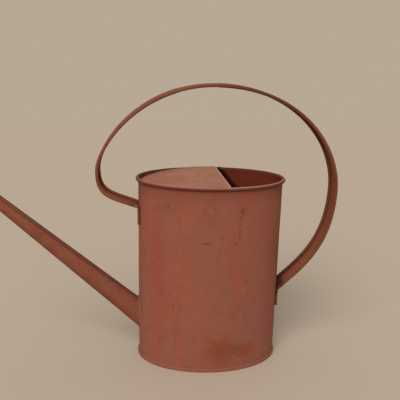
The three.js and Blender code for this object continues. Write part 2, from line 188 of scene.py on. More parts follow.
class CanColours(bpy.types.PropertyGroup):
    """Colours of the rust, the solder and the stage."""

    rust: colour_setting("Rust", "Main colour of the body", 143, 80, 61)
    brown_rust: colour_setting("Brown rust", "Upright bands down the body", 137, 84, 67)
    dust: colour_setting("Dust", "Greyish bloom low on the body", 141, 84, 74)
    dark_rust: colour_setting("Dark rust", "Blotches, drips and pits", 106, 52, 36)
    red_rust: colour_setting("Red rust", "Redder patches of the body and the spout", 143, 71, 54)
    olive_rust: colour_setting("Olive rust", "Dull patches of the spout", 118, 82, 56)
    # Painted shade in the dark line under the rim's bead; also the colour of dark drips.
    deep_rust_and_shade: colour_setting("Deep rust", "Dark line under the rim and in drips", 68, 25, 12)
    # Near-black painted shade: deep corners and the hood's shadow beside its open edge.
    shade_black: colour_setting("Soot", "Near-black shade of deep corners", 24, 12, 9)
    # Hood and pale spots; also the painted highlights on the rim's crest and on the strap's crown.
    pale_rust: colour_setting("Pale rust", "Hood, rim and worn edges", 157, 106, 83)
    ochre: colour_setting("Ochre", "Orange stains", 140, 72, 42)
    # Painted highlight on the top of the rim and of the bottom seam.
    rim_highlight: colour_setting("Worn rust", "Rubbed top of the rim and of the bottom seam", 179, 126, 108)
    # Dark dirt along the spout's top; painted shade in the strap's rolls, on the rim's back, in the groove
    # by the hood and on the spout's underside.
    shade_and_grime: colour_setting("Grime", "Dark dirt in corners and on low edges", 62, 32, 21)
    inside: colour_setting("Inside", "Dark rust inside the body", 109, 47, 31)
    deep_inside: colour_setting("Deep inside", "Shade low inside the body", 41, 18, 13)
    hood_bloom: colour_setting("Hood bloom", "Pale patches of the hood", 173, 115, 99)
    hood_ochre: colour_setting("Hood ochre", "Orange patches of the hood", 144, 95, 63)
    # Painted highlight along the hood's open edge.
    hood_edge_highlight: colour_setting("Hood rubbed", "Rubbed open edge of the hood", 186, 137, 121)
    spout: colour_setting("Spout", "Main colour of the spout", 130, 70, 51)
    strap: colour_setting("Strap", "Main colour of the handle", 129, 72, 48)
    # Painted light on the strap's low front bow.
    strap_front_light: colour_setting("Strap tan", "Lighter stretch by the front foot", 156, 95, 63)
    strap_orange: colour_setting("Strap orange", "Orange stretch by the rear foot", 151, 87, 50)
    solder: colour_setting("Solder", "Grey smears of solder", 126, 102, 94)
    stage: colour_setting("Stage", "Pale floor and background", 184, 168, 150)


# Shapes


def smooth_step(value, low, high):
    """Share from 0 to 1 of a value's way from low to high, eased at both ends."""
    share = min(max((value - low) / (high - low), 0.0), 1.0)
    return share * share * (3 - 2 * share)


def spread(low, high, steps):
    """Even row of values from low to high, both included."""
    return [low + (high - low) * step / steps for step in range(steps + 1)]


def arc(centre, radius, start, end, steps):
    """Points of an arc in a section, as pairs; the angles are in degrees."""
    return [
        (centre[0] + radius * math.cos(math.radians(a)), centre[1] + radius * math.sin(math.radians(a)))
        for a in spread(start, end, steps)
    ]


def crossing(rising, low, high):
    """Where a rising function of one value crosses zero."""
    for _ in range(26):
        middle = (low + high) / 2
        if rising(middle) < 0:
            low = middle
        else:
            high = middle
    return (low + high) / 2


def oval_point(sizes, angle, offset, z):
    """Point of the body's oval, moved out along its normal."""
    normal = Vector((math.cos(angle) / sizes.half_length, math.sin(angle) / sizes.half_depth))
    normal = normal.normalized() * offset
    return Vector(
        (
            sizes.half_length * math.cos(angle) + normal.x,
            sizes.half_depth * math.sin(angle) + normal.y,
            z,
        )
    )


def oval_end(sizes, y, offset):
    """Largest x of the offset oval at a given y."""
    height = abs(y)
    for _ in range(5):
        sine = min(height / sizes.half_depth, 1.0)
        cosine = math.sqrt(1 - sine * sine)
        reach = math.hypot(cosine / sizes.half_length, sine / sizes.half_depth)
        height = abs(y) - offset * sine / sizes.half_depth / reach
    return sizes.half_length * cosine + offset * cosine / sizes.half_length / reach


def wrap_on_oval(bm, sizes):
    """Moves a body that was spun at the half length's radius onto the oval."""
    rim_zone = 5 * MM
    for vert in bm.verts:
        radius = math.hypot(vert.co.x, vert.co.y)
        angle = math.atan2(vert.co.y, vert.co.x)
        offset = max(radius - sizes.half_length, -rim_zone)
        inner = min(radius / (sizes.half_length - rim_zone), 1.0)
        place = oval_point(sizes, angle, offset, vert.co.z)
        vert.co = Vector((place.x * inner, place.y * inner, vert.co.z))


def spun_on_oval(sizes, section, closed=True):
    """Band or dish round the oval; its section is a list of (offset, height)."""
    bm = bmesh.new()
    verts = [bm.verts.new((sizes.half_length + offset, 0, z)) for offset, z in section]
    followers = verts[1:] + verts[:1] if closed else verts[1:]
    edges = [bm.edges.new(pair) for pair in zip(verts, followers)]
    bmesh.ops.spin(
        bm,
        geom=verts + edges,
        cent=(0, 0, 0),
        axis=(0, 0, 1),
        angle=2 * math.pi,
        steps=OVAL_STEPS,
        use_merge=True,
    )
    bmesh.ops.remove_doubles(bm, verts=bm.verts, dist=0.001 * MM)
    bmesh.ops.recalc_face_normals(bm, faces=bm.faces)
    wrap_on_oval(bm, sizes)
    return bm


def ring_edges(bm, ring):
    """Edges round a closed ring of vertices, made where they are missing."""
    pairs = zip(ring, ring[1:] + ring[:1])
    return [bm.edges.get(pair) or bm.edges.new(pair) for pair in pairs]


def swept(sections, closed=False):
    """Skin drawn through a row of rings; closed joins the last ring to the first."""
    bm = bmesh.new()
    ring = [bm.verts.new(point) for point in sections[0]]
    first = ring_edges(bm, ring)
    edges = first
    for section in sections[1:]:
        made = bmesh.ops.extrude_edge_only(bm, edges=edges)["geom"]
        fresh = {item for item in made if isinstance(item, bmesh.types.BMVert)}
        ring = [
            next(edge.other_vert(vert) for edge in vert.link_edges if edge.other_vert(vert) in fresh)
            for vert in ring
        ]
        for vert, point in zip(ring, section):
            vert.co = point
        edges = ring_edges(bm, ring)
    if closed:
        bmesh.ops.bridge_loops(bm, edges=first + edges)
    else:
        bmesh.ops.edgeloop_fill(bm, edges=first)
        bmesh.ops.edgeloop_fill(bm, edges=edges)
    bmesh.ops.recalc_face_normals(bm, faces=bm.faces)
    return bm


def soften_sheet(bm, sizes):
    """Gives the body's sheet the slight waves of hand work, none at its two seams."""
    wave_size = 45 * MM
    for vert in bm.verts:
        place = vert.co
        foot = smooth_step(place.z, 5 * MM, 40 * MM)
        top = smooth_step(sizes.rim_height - place.z, 6 * MM, 40 * MM)
        angle = math.atan2(place.y / sizes.half_depth, place.x / sizes.half_length)
        on_wall = oval_point(sizes, angle, 0, place.z)
        wave = noise.noise(on_wall / wave_size)
        outward = Vector((on_wall.x, on_wall.y, 0)).normalized()
        vert.co += outward * (wave * foot * top * sizes.unevenness)


def paint_faces(bm, index, chosen):
    """Gives the faces for which chosen is true the material at index."""
    for face in bm.faces:
        if chosen(face):
            face.material_index = index


def finish_piece(context, bm, name, node, materials, sharp=40):
    """Turns a bmesh into a smooth piece that rides on the can and stands for a node of the frame."""
    mesh = bpy.data.meshes.new(name)
    bm.to_mesh(mesh)
    bm.free()
    for material in materials:
        mesh.materials.append(material)
    mesh.shade_smooth()
    mesh.set_sharp_from_angle(angle=math.radians(sharp))
    piece = bpy.data.objects.new(name, mesh)
    context.scene.collection.objects.link(piece)
    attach(piece, "root")
    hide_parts(node)
    return piece


# Body


def wall_section(sizes):
    """Section of the wall: hemmed foot, plain wall and a curl over the rim wire."""
    wire = (RIM_OUTSET, sizes.rim_height)
    neck = sizes.rim_height - RIM_NECK
    round_over = 0.2 * MM
    outer_wall = [(0, z) for z in spread(HEM_TOP, neck, WALL_ROWS)]
    inner_wall = [(-SHEET, z) for z in spread(neck, WALL_FOOT, WALL_ROWS)]
    return [
        (HEM_THICKNESS - round_over, WALL_FOOT),
        (HEM_THICKNESS, WALL_FOOT + round_over),
        (HEM_THICKNESS, HEM_TOP - round_over),
        (HEM_THICKNESS - round_over, HEM_TOP),
        *outer_wall,
        *arc(wire, BEAD_RADIUS - SHEET, 180, CURL_END, 20),
        *arc(wire, BEAD_RADIUS, CURL_END, 180, 26),
        *inner_wall,
    ]


def spout_axis(sizes):
    """Direction from the wall to the spout's tip."""
    return Vector((-math.cos(sizes.spout_angle), 0, math.sin(sizes.spout_angle)))


def spout_radius(sizes, run):
    """Radius of the spout at a distance from the wall along its axis."""
    return sizes.spout_root + (sizes.spout_tip - sizes.spout_root) * run / sizes.spout_length


def spout_point(sizes, run, angle, radius):
    """Point beside the spout's axis; the angle is taken from the top line to the camera side."""
    up = Vector((math.sin(sizes.spout_angle), 0, math.cos(sizes.spout_angle)))
    point = Vector((-sizes.half_length, 0, sizes.spout_height)) + spout_axis(sizes) * run
    point += up * (radius * math.cos(angle))
    point.y -= radius * math.sin(angle)
    return point


def cut_spout_hole(piece, sizes):
    """Cuts the hole through which the water reaches the spout."""
    reach = 2 * sizes.spout_root
    bm = bmesh.new()
    bmesh.ops.create_cone(
        bm,
        cap_ends=True,
        segments=SPOUT_SIDES,
        radius1=spout_radius(sizes, -reach) - SHEET,
        radius2=spout_radius(sizes, reach) - SHEET,
        depth=2 * reach,
    )
    turn = Vector((0, 0, 1)).rotation_difference(spout_axis(sizes)).to_matrix().to_4x4()
    middle = Matrix.Translation(spout_point(sizes, 0, 0, 0))
    bmesh.ops.transform(bm, matrix=middle @ turn, verts=bm.verts)
    mesh = bpy.data.meshes.new("spout_hole")
    bm.to_mesh(mesh)
    bm.free()
    cutter = bpy.data.objects.new("spout_hole", mesh)
    bpy.context.scene.collection.objects.link(cutter)
    cut = piece.modifiers.new("Spout hole", "BOOLEAN")
    cut.operation = "DIFFERENCE"
    cut.solver = "EXACT"
    cut.object = cutter
    apply_modifiers(piece)
    bpy.data.objects.remove(cutter)


def apply_modifiers(piece):
    """Puts the shape that a piece's modifiers give into its mesh."""
    depsgraph = bpy.context.evaluated_depsgraph_get()
    depsgraph.update()
    finished = bpy.data.meshes.new_from_object(piece.evaluated_get(depsgraph))
    old = piece.data
    piece.modifiers.clear()
    piece.data = finished
    bpy.data.meshes.remove(old)


def add_wall_lap(bm, sizes):
    """Adds the strip inside the wall's rear end where the two ends of the sheet lap."""
    half_width = 3 * MM
    lap = bmesh.ops.create_grid(bm, x_segments=4, y_segments=WALL_ROWS, size=1)["verts"]
    foot = WALL_FOOT + 3 * MM
    head = sizes.rim_height - RIM_NECK
    for vert in lap:
        angle = vert.co.x * half_width / sizes.half_depth
        z = foot + (head - foot) * (vert.co.y + 1) / 2
        vert.co = oval_point(sizes, angle, -1.9 * SHEET, z)
    faces = list({face for vert in lap for face in vert.link_faces})
    bmesh.ops.recalc_face_normals(bm, faces=faces)
    bmesh.ops.solidify(bm, geom=faces, thickness=SHEET)


# Materials


class Wiring:
    """Places and joins the nodes of one material or node group."""

    def __init__(self, tree):
        self.tree = tree
        tree.nodes.clear()

    def node(self, kind, values=None, **attributes):
        made = self.tree.nodes.new(kind)
        made.location = (200 * (len(self.tree.nodes) % 12), -260 * (len(self.tree.nodes) // 12))
        for key, value in attributes.items():
            setattr(made, key, value)
        for key, value in (values or {}).items():
            self.feed(made.inputs[key], value)
        return made

    def feed(self, socket, value):
        """Links a socket or sets its constant."""
        if isinstance(value, bpy.types.NodeSocket):
            self.tree.links.new(value, socket)
        else:
            socket.default_value = value

    def noise(self, vector, scale, detail=5.0, roughness=0.55, distortion=0.0):
        return self.node(
            "ShaderNodeTexNoise",
            {
                "Vector": vector,
                "Scale": scale,
                "Detail": detail,
                "Roughness": roughness,
                "Distortion": distortion,
            },
        ).outputs["Fac"]

    def ramp(self, value, low, high, to_low=0.0, to_high=1.0):
        """Smooth step of a value between low and high."""
        return self.node(
            "ShaderNodeMapRange",
            {"Value": value, "From Min": low, "From Max": high, "To Min": to_low, "To Max": to_high},
            interpolation_type="SMOOTHSTEP",
        ).outputs["Result"]

    def math(self, operation, first, second=0.0):
        return self.node("ShaderNodeMath", {0: first, 1: second}, operation=operation).outputs[0]

    def mix(self, share, first, second, blend="MIX"):
        return self.node(
            "ShaderNodeMix", {0: share, 6: first, 7: second}, data_type="RGBA", blend_type=blend
        ).outputs[2]

    def scaled(self, vector, scale, place=(0, 0, 0)):
        """Object coordinates moved and stretched."""
        return self.node(
            "ShaderNodeMapping", {"Vector": vector, "Location": place, "Scale": scale}
        ).outputs["Vector"]


def node_group(name, inputs, outputs):
    """New shader node group with named sockets; gives its wiring, inputs and output node."""
    tree = bpy.data.node_groups.new(name, "ShaderNodeTree")
    for label, kind, value in inputs:
        socket = tree.interface.new_socket(name=label, in_out="INPUT", socket_type=kind)
        if value is not None:
            socket.default_value = value
    for label, kind in outputs:
        tree.interface.new_socket(name=label, in_out="OUTPUT", socket_type=kind)
    wiring = Wiring(tree)
    return wiring, wiring.node("NodeGroupInput").outputs, wiring.node("NodeGroupOutput").inputs


VECTOR = "NodeSocketVector"
FLOAT = "NodeSocketFloat"


def blotch_group():
    """Cloudy blotches at two scales, as a mask."""
    wiring, given, wanted = node_group(
        "Rust blotches",
        [("Vector", VECTOR, None), ("Scale", FLOAT, 30.0), ("Low", FLOAT, 0.45), ("High", FLOAT, 0.65)],
        [("Mask", FLOAT)],
    )
    broad = wiring.noise(given["Vector"], given["Scale"], 4.0, 0.55, 0.6)
    fine_scale = wiring.math("MULTIPLY", given["Scale"], 4.3)
    fine = wiring.noise(given["Vector"], fine_scale, 5.0, 0.6)
    total = wiring.math("ADD", wiring.math("MULTIPLY", broad, 0.65), wiring.math("MULTIPLY", fine, 0.35))
    wiring.feed(wanted["Mask"], wiring.ramp(total, given["Low"], given["High"]))
    return wiring.tree


def band_group():
    """Broad soft bands that run up the sheet, as a mask."""
    wiring, given, wanted = node_group(
        "Upright bands",
        [("Vector", VECTOR, None), ("Width", FLOAT, 55.0), ("Low", FLOAT, 0.4), ("High", FLOAT, 0.62)],
        [("Mask", FLOAT)],
    )
    stretched = wiring.scaled(given["Vector"], (1, 1, 0.14))
    bands = wiring.noise(stretched, given["Width"], 3.0, 0.5, 0.4)
    wiring.feed(wanted["Mask"], wiring.ramp(bands, given["Low"], given["High"]))
    return wiring.tree


def drip_group():
    """Upright runs and streaks down the sheet, as a mask."""
    wiring, given, wanted = node_group(
        "Rust drips",
        [("Vector", VECTOR, None), ("Scale", FLOAT, 1.0), ("Low", FLOAT, 0.55), ("High", FLOAT, 0.7)],
        [("Mask", FLOAT)],
    )
    narrow = wiring.scaled(given["Vector"], (150, 150, 9))
    long_runs = wiring.noise(narrow, given["Scale"], 3.0, 0.5, 0.3)
    patchy = wiring.noise(given["Vector"], 26.0, 2.0)
    share = wiring.math("MULTIPLY", wiring.ramp(long_runs, given["Low"], given["High"]), patchy)
    wiring.feed(wanted["Mask"], wiring.math("MULTIPLY", share, 1.6))
    return wiring.tree


def grain_group():
    """Fine grain of the rust, its small pits and its dark specks."""
    wiring, given, wanted = node_group(
        "Rust grain",
        [("Vector", VECTOR, None), ("Scale", FLOAT, 1.0)],
        [("Grain", FLOAT), ("Height", FLOAT), ("Specks", FLOAT)],
    )
    scaled = wiring.node(
        "ShaderNodeVectorMath", {0: given["Vector"], 3: given["Scale"]}, operation="SCALE"
    ).outputs[0]
    grain = wiring.noise(scaled, 900.0, 4.0, 0.6)
    coarse = wiring.noise(scaled, 260.0, 4.0, 0.6)
    height = wiring.math("ADD", wiring.math("MULTIPLY", grain, 0.4), wiring.math("MULTIPLY", coarse, 0.6))
    cells = wiring.node("ShaderNodeTexVoronoi", {"Vector": scaled, "Scale": 95.0}, feature="F1")
    sparse = wiring.ramp(wiring.noise(scaled, 60.0, 2.0), 0.56, 0.66)
    specks = wiring.math("MULTIPLY", wiring.ramp(cells.outputs["Distance"], 0.24, 0.1), sparse)
    wiring.feed(wanted["Grain"], wiring.ramp(height, 0.3, 0.7))
    wiring.feed(wanted["Height"], wiring.math("SUBTRACT", height, wiring.math("MULTIPLY", specks, 0.6)))
    wiring.feed(wanted["Specks"], specks)
    return wiring.tree


def mark_group():
    """One soft-edged mark round a point, with a ragged outline."""
    wiring, given, wanted = node_group(
        "Single mark",
        [("Vector", VECTOR, None), ("Centre", VECTOR, None), ("Size", VECTOR, (0.01, 0.01, 0.01))],
        [("Mask", FLOAT)],
    )
    away = wiring.node(
        "ShaderNodeVectorMath", {0: given["Vector"], 1: given["Centre"]}, operation="SUBTRACT"
    ).outputs[0]
    share = wiring.node("ShaderNodeVectorMath", {0: away, 1: given["Size"]}, operation="DIVIDE").outputs[0]
    length = wiring.node("ShaderNodeVectorMath", {0: share}, operation="LENGTH").outputs["Value"]
    ragged = wiring.math("ADD", length, wiring.math("MULTIPLY", wiring.noise(given["Vector"], 220.0), 0.9))
    wiring.feed(wanted["Mask"], wiring.ramp(ragged, 1.45, 0.55))
    return wiring.tree


def group(name, build):
    """The node group of that name, built once."""
    return bpy.data.node_groups.get(name) or build()


def placed(wiring, name, build, values):
    """Outputs of a node group put into a material with its own values."""
    return wiring.node("ShaderNodeGroup", values, node_tree=group(name, build)).outputs


def solid(colour, shade=1.0):
    """Opaque colour for a socket, made darker by its shade."""
    return (*[channel * shade for channel in colour], 1.0)


def mottled_rust(wiring, place, look, colours):
    """Colour of the rust before its grain: bands, blotches, stains, drips, zones and marks."""

    def blotches(scale, low=0.45, shift=(0, 0, 0)):
        """Mask of blotches, taken from another part of the pattern by its shift."""
        shifted = wiring.scaled(place, (1, 1, 1), shift)
        values = {"Vector": shifted, "Scale": scale, "Low": low}
        return placed(wiring, "Rust blotches", blotch_group, values)["Mask"]

    def tinted(colour, mask, strength, tint):
        """Colour with a tint laid over it where its mask says."""
        return wiring.mix(wiring.math("MULTIPLY", mask, strength), colour, solid(tint))

    bands = placed(wiring, "Upright bands", band_group, {"Vector": place})["Mask"]
    drips = placed(wiring, "Rust drips", drip_group, {"Vector": place})["Mask"]
    pale = blotches(look.get("scale", 22.0))
    dark = blotches(34.0, 0.5, (3.1, 1.7, 0.6))
    stains = blotches(27.0, 0.52, (7.3, 2.9, 4.1))
    colour = solid(look["base"])
    colour = tinted(colour, bands, look.get("bands", 0.0), colours.brown_rust)
    colour = tinted(colour, pale, look.get("pale", 0.2), look.get("pale_tint", colours.pale_rust))
    colour = tinted(colour, dark, look.get("dark", 0.4), colours.dark_rust)
    colour = tinted(colour, stains, look.get("ochre", 0.3), look.get("ochre_tint", colours.ochre))
    colour = tinted(colour, drips, look.get("drips", 0.3), colours.dark_rust)
    for direction, low, high, tint, strength in look.get("zones", []):
        along = wiring.node("ShaderNodeVectorMath", {0: place, 1: direction}, operation="DOT_PRODUCT")
        share = wiring.ramp(along.outputs["Value"], low, high, 0.0, strength)
        colour = wiring.mix(share, colour, solid(tint))
    for centre, size, tint, strength in look.get("marks", []):
        mark = placed(wiring, "Single mark", mark_group, {"Vector": place, "Centre": centre, "Size": size})
        colour = tinted(colour, mark["Mask"], strength, tint)
    return colour


def rust_material(name, look, colours):
    """Matt, mottled rust with its own look, of colours and of shares from 0 to 1.

    Its zones are (direction, from, to, colour, strength), and its marks are (centre, size, colour,
    strength).
    """
    material, wiring, place = blank_material(name)
    colour = mottled_rust(wiring, place, look, colours)
    grain = placed(wiring, "Rust grain", grain_group, {"Vector": place})
    depth = look.get("grain", 0.06)
    colour = shaded(wiring, colour, grain["Grain"], 1 - depth, 1 + depth)
    share = wiring.math("MULTIPLY", grain["Specks"], 0.3)
    colour = wiring.mix(share, colour, solid(colours.dark_rust, 0.6))
    # Painted highlights laid on by the stored share; on the spout's fillet the share is even and gives a
    # paler tone.
    share = wiring.math("MULTIPLY", stored_share(wiring, "wear_and_highlight"), look.get("wear_and_highlight", 0.45))
    colour = wiring.mix(share, colour, solid(look.get("painted_highlight", colours.pale_rust)))
    # Dark dirt and painted shade laid on by the stored share.
    if "shade_and_grime" in look:
        share = wiring.math("MULTIPLY", stored_share(wiring, "shade_and_grime_share"), look["shade_and_grime"])
        colour = wiring.mix(share, colour, solid(colours.shade_and_grime))
    rough = wiring.ramp(grain["Grain"], 0.0, 1.0, 0.74, 0.94)
    finish_matt(wiring, colour, rough, grain["Height"], 0.2, look.get("gloss", 0.2))
    return material


def solder_material(name, rust_share, colours):
    """Dull grey solder, partly rusted over."""
    material, wiring, place = blank_material(name)
    patches = {"Vector": place, "Scale": 160.0, "Low": 0.75 - rust_share / 2, "High": 0.85 - rust_share / 2}
    rust = placed(wiring, "Rust blotches", blotch_group, patches)["Mask"]
    grain = placed(wiring, "Rust grain", grain_group, {"Vector": place})
    colour = wiring.mix(rust, solid(colours.solder), solid(colours.rust))
    colour = shaded(wiring, colour, grain["Grain"], 0.8, 1.1)
    # Painted shade, near black, where the stored share says: on the back smear next to the hood's open edge.
    share = wiring.math("MULTIPLY", stored_share(wiring, "shade_and_grime_share"), 0.95)
    colour = wiring.mix(share, colour, solid(colours.shade_black))
    finish_matt(wiring, colour, wiring.ramp(rust, 0.0, 1.0, 0.7, 0.9), grain["Height"], 0.4, 0.1)
    return material


def blank_material(name):
    """New material; gives its wiring and its object coordinates too."""
    material = bpy.data.materials.new(name)
    material.use_nodes = True
    wiring = Wiring(material.node_tree)
    return material, wiring, wiring.node("ShaderNodeTexCoord").outputs["Object"]


def shaded(wiring, colour, value, darkest, lightest):
    """Colour made darker and lighter by a value from 0 to 1."""
    shade = wiring.ramp(value, 0.0, 1.0, darkest, lightest)
    grey = wiring.node("ShaderNodeCombineColor", {"Red": shade, "Green": shade, "Blue": shade}).outputs[0]
    return wiring.mix(1.0, colour, grey, "MULTIPLY")


def stored_share(wiring, name):
    """Share that was stored on the vertices under that name; none stored counts as 0."""
    return wiring.node("ShaderNodeAttribute", attribute_name=name).outputs["Fac"]


def finish_matt(wiring, colour, roughness, height, bump_strength, specular):
    """Joins colour, roughness and bump to a matt surface."""
    bump = wiring.node(
        "ShaderNodeBump", {"Height": height, "Strength": bump_strength, "Distance": 0.4 * MM}
    )
    shader = wiring.node(
        "ShaderNodeBsdfPrincipled",
        {
            "Base Color": colour,
            "Roughness": roughness,
            "Normal": bump.outputs["Normal"],
            "Specular IOR Level": specular,
        },
    )
    wiring.node("ShaderNodeOutputMaterial", {"Surface": shader.outputs["BSDF"]})


def shared_material(context, name, make, look):
    """The material of that name, made once. The frame's own materials have the slots' names."""
    return bpy.data.materials.get(name) or make(name, look, context.scene.can_colours)


def front_marks(sizes, depth, rows):
    """Marks on the front of the wall, from rows of x, z, half width, half height, colour, strength."""
    marks = []
    for x, z, half_width, half_height, tint, strength in rows:
        y = -sizes.half_depth * math.sqrt(1 - (x * MM / sizes.half_length) ** 2)
        centre = (x * MM, y, z * MM)
        marks.append((centre, (half_width * MM, depth * MM, half_height * MM), tint, strength))
    return marks


def wall_marks(context):
    """Patches, stains, drips and spots on the wall's front; their places and sizes are in millimetres."""
    sizes = context.scene.can_sizes
    colours = context.scene.can_colours
    red, brown, dust, ochre = colours.red_rust, colours.brown_rust, colours.dust, colours.ochre
    dark, deep, pale = colours.dark_rust, colours.deep_rust_and_shade, colours.pale_rust
    patches = [
        (-13.3, 138, 15, 60, brown, 0.8),
        (-60, 130, 18, 100, red, 0.65),
        (42.6, 150, 17, 45, brown, 0.6),
        (56.6, 60, 25, 38, dust, 0.75),
        (-26.2, 64, 17, 22, dust, 0.6),
    ]
    stains = [
        (11, 29, 23, 22, ochre, 0.8),
        (40, 22, 17, 13, ochre, 0.75),
        (11, 23, 30, 28, dark, 0.35),
        (34, 24, 26, 16, dark, 0.25),
        (-50, 193, 22, 14, dark, 0.2),
    ]
    drips = [
        (-48.8, 75, 6, 12, ochre, 0.5),
        (32, 196, 8, 18, ochre, 0.6),
        (34.2, 191, 1.6, 9, ochre, 0.9),
        (30.2, 191.2, 2.4, 7, deep, 0.45),
        (28.7, 183.5, 2.4, 5, deep, 0.35),
        (27.8, 176.2, 1.8, 5, deep, 0.35),
        (28, 164.5, 1.8, 9, deep, 0.3),
        (-37.7, 179.3, 2.4, 7, ochre, 0.55),
        (-56, 96, 2, 10, dark, 0.45),
        (-42.9, 76, 1.8, 8, dark, 0.4),
        (-69.5, 66.6, 1.6, 4, dark, 0.4),
        (-18.6, 62, 1, 15, pale, 0.25),
    ]
    spots = [
        (34.6, 99.9, 3.4, 3.4, pale, 0.7),
        (34.6, 99.9, 2.3, 2.3, colours.rust, 0.9),
        (-49.1, 194.4, 2.4, 2.2, dark, 0.9),
        (-8.2, 155.2, 10, 2.6, dark, 0.6),
        (23.6, 154.3, 4, 2, dark, 0.5),
        (8.7, 161.4, 2.4, 2.6, dark, 0.6),
        (4.7, 138.8, 2, 2, red, 0.8),
        (-16.3, 181.9, 2.6, 3, dark, 0.35),
        (-4.4, 192.3, 3.4, 3.4, pale, 0.4),
        (-65.9, 126.1, 1.6, 1.6, dark, 0.7),
    ]
    return [
        *front_marks(sizes, 30, patches),
        *front_marks(sizes, 20, stains),
        *front_marks(sizes, 10, drips + spots),
    ]


def body_rust(context):
    """Reddish rust with brown bands, darker under the rim, with painted shade in a line under the rim's bead
    and along its back, and a painted highlight on its top.
    """
    colours = context.scene.can_colours
    rim = context.scene.can_sizes.rim_height
    upright, to_back, to_front = (0, 0, 1), (0, 0.05, 1), (0, -0.02, 1)
    zones = [
        (upright, rim - 22 * MM, rim - 4 * MM, colours.dark_rust, 0.35),
        # Painted shade: a dark line just under the rim's bead.
        (upright, rim - 3.4 * MM, rim - 2.1 * MM, colours.deep_rust_and_shade, 0.5),
        # Painted shade on the top of the rim, most at the back.
        (to_back, rim + 1.2 * MM, rim + 2.8 * MM, colours.shade_and_grime, 0.7),
        # Painted highlight on the rim's crest, most on the camera's side.
        (to_front, rim + 1.6 * MM, rim + 2.9 * MM, colours.pale_rust, 0.9),
    ]
    look = {
        "base": colours.rust,
        "bands": 0.9,
        "pale": 0.08,
        "dark": 0.16,
        "ochre": 0.12,
        "drips": 0.14,
        "marks": wall_marks(context),
        "zones": zones,
        "wear_and_highlight": 0.3,
        "painted_highlight": colours.rim_highlight,
    }
    return shared_material(context, "body_rust", rust_material, look)


def inside_rust(context):
    """Dark rust with painted shade that makes it near black low down, and the hood's painted shadow on the
    wall beside its open edge.
    """
    colours = context.scene.can_colours
    rim = context.scene.can_sizes.rim_height
    upright, past_hood = (0, 0, 1), (1, 0, 0.84)
    zones = [
        # Painted shade: near black low down, turning to the inside's rust colour towards the rim.
        (upright, rim - 70 * MM, rim - 6 * MM, colours.inside, 1.0),
        # Painted shadow of the hood on the wall beside its open edge.
        (past_hood, 204 * MM, 198.5 * MM, colours.shade_black, 0.9),
    ]
    look = {
        "base": colours.deep_inside,
        "zones": zones,
        "pale": 0.0,
        "dark": 0.1,
        "ochre": 0.1,
        "drips": 0.5,
        "wear_and_highlight": 0.0,
        "gloss": 0.05,
    }
    return shared_material(context, "inside_rust", rust_material, look)


def groove_shade(context):
    """Painted shade in the groove between the rim and the low end of the hood."""
    look = {
        "base": context.scene.can_colours.shade_and_grime,
        "scale": 60.0,
        "pale": 0.15,
        "dark": 0.0,
        "drips": 0.0,
    }
    return shared_material(context, "groove_shade", rust_material, look)


def hood_rust(context):
    """Paler rust with pinkish and orange patches, and a painted highlight along the open edge."""
    colours = context.scene.can_colours
    rim = context.scene.can_sizes.rim_height
    look = {
        "base": colours.pale_rust,
        "scale": 60.0,
        "pale": 0.7,
        "pale_tint": colours.hood_bloom,
        "dark": 0.14,
        "ochre": 0.9,
        "ochre_tint": colours.hood_ochre,
        "drips": 0.0,
        "marks": [
            ((-45 * MM, -15 * MM, rim), (30 * MM, 30 * MM, 20 * MM), colours.ochre, 0.3),
            ((-35 * MM, -16 * MM, rim + 1 * MM), (3 * MM, 3 * MM, 10 * MM), colours.dark_rust, 0.6),
        ],
        "wear_and_highlight": 0.9,
        "painted_highlight": colours.hood_edge_highlight,
    }
    return shared_material(context, "hood_rust", rust_material, look)


def spout_rust(context):
    """Redder rust with olive patches, dark dirt along the top, and painted shade in a line at the lap's edge
    and on the underside.
    """
    colours = context.scene.can_colours
    look = {
        "base": colours.spout,
        "scale": 55.0,
        "pale": 0.6,
        "pale_tint": colours.olive_rust,
        "dark": 0.3,
        "ochre": 0.5,
        "ochre_tint": colours.red_rust,
        "drips": 0.0,
        "wear_and_highlight": 0.4,
        "shade_and_grime": 0.75,
        "grain": 0.08,
    }
    return shared_material(context, "spout_rust", rust_material, look)


def strap_rust(context):
    """Brown rust of the handle, orange in places, with painted shade in its rolled edges and at its feet, a
    painted highlight on its crown and painted light on its low front bow.
    """
    colours = context.scene.can_colours
    marks = [
        ((-84, -12.5, 187.2), (3, 4, 3), colours.pale_rust, 0.7),
        ((-84.5, 0, 179), (4, 30, 9), colours.deep_rust_and_shade, 0.5),
        # Painted light on the strap's low front bow.
        ((-118, 0, 202), (22, 30, 16), colours.strap_front_light, 0.55),
        ((83.5, 0, 64), (12, 50, 28), colours.dark_rust, 0.9),
        # Painted shade in the corner between the rear bend and the wall.
        ((86, 0, 92), (7, 30, 9), colours.shade_black, 0.95),
        ((113, -6, 112), (24, 10, 24), colours.strap_orange, 0.6),
    ]
    look = {
        "base": colours.strap,
        "scale": 60.0,
        "pale": 0.08,
        "dark": 0.4,
        "ochre": 0.6,
        "drips": 0.0,
        "wear_and_highlight": 0.15,
        "shade_and_grime": 0.8,
        "grain": 0.08,
        "marks": [(Vector(centre) * MM, Vector(size) * MM, *rest) for centre, size, *rest in marks],
    }
    return shared_material(context, "strap_rust", rust_material, look)


def grey_solder(context):
    return shared_material(context, "grey_solder", solder_material, 0.5)


def rusted_solder(context):
    return shared_material(context, "rusted_solder", solder_material, 0.75)


def store_share(bm, name, share_of):
    """Stores on each vertex a share from 0 to 1: the strength of its painted highlight and wear, or of its
    painted shade and dirt.
    """
    layer = bm.verts.layers.float.new(name)
    for vert in bm.verts:
        vert[layer] = share_of(vert.co)


# Operators


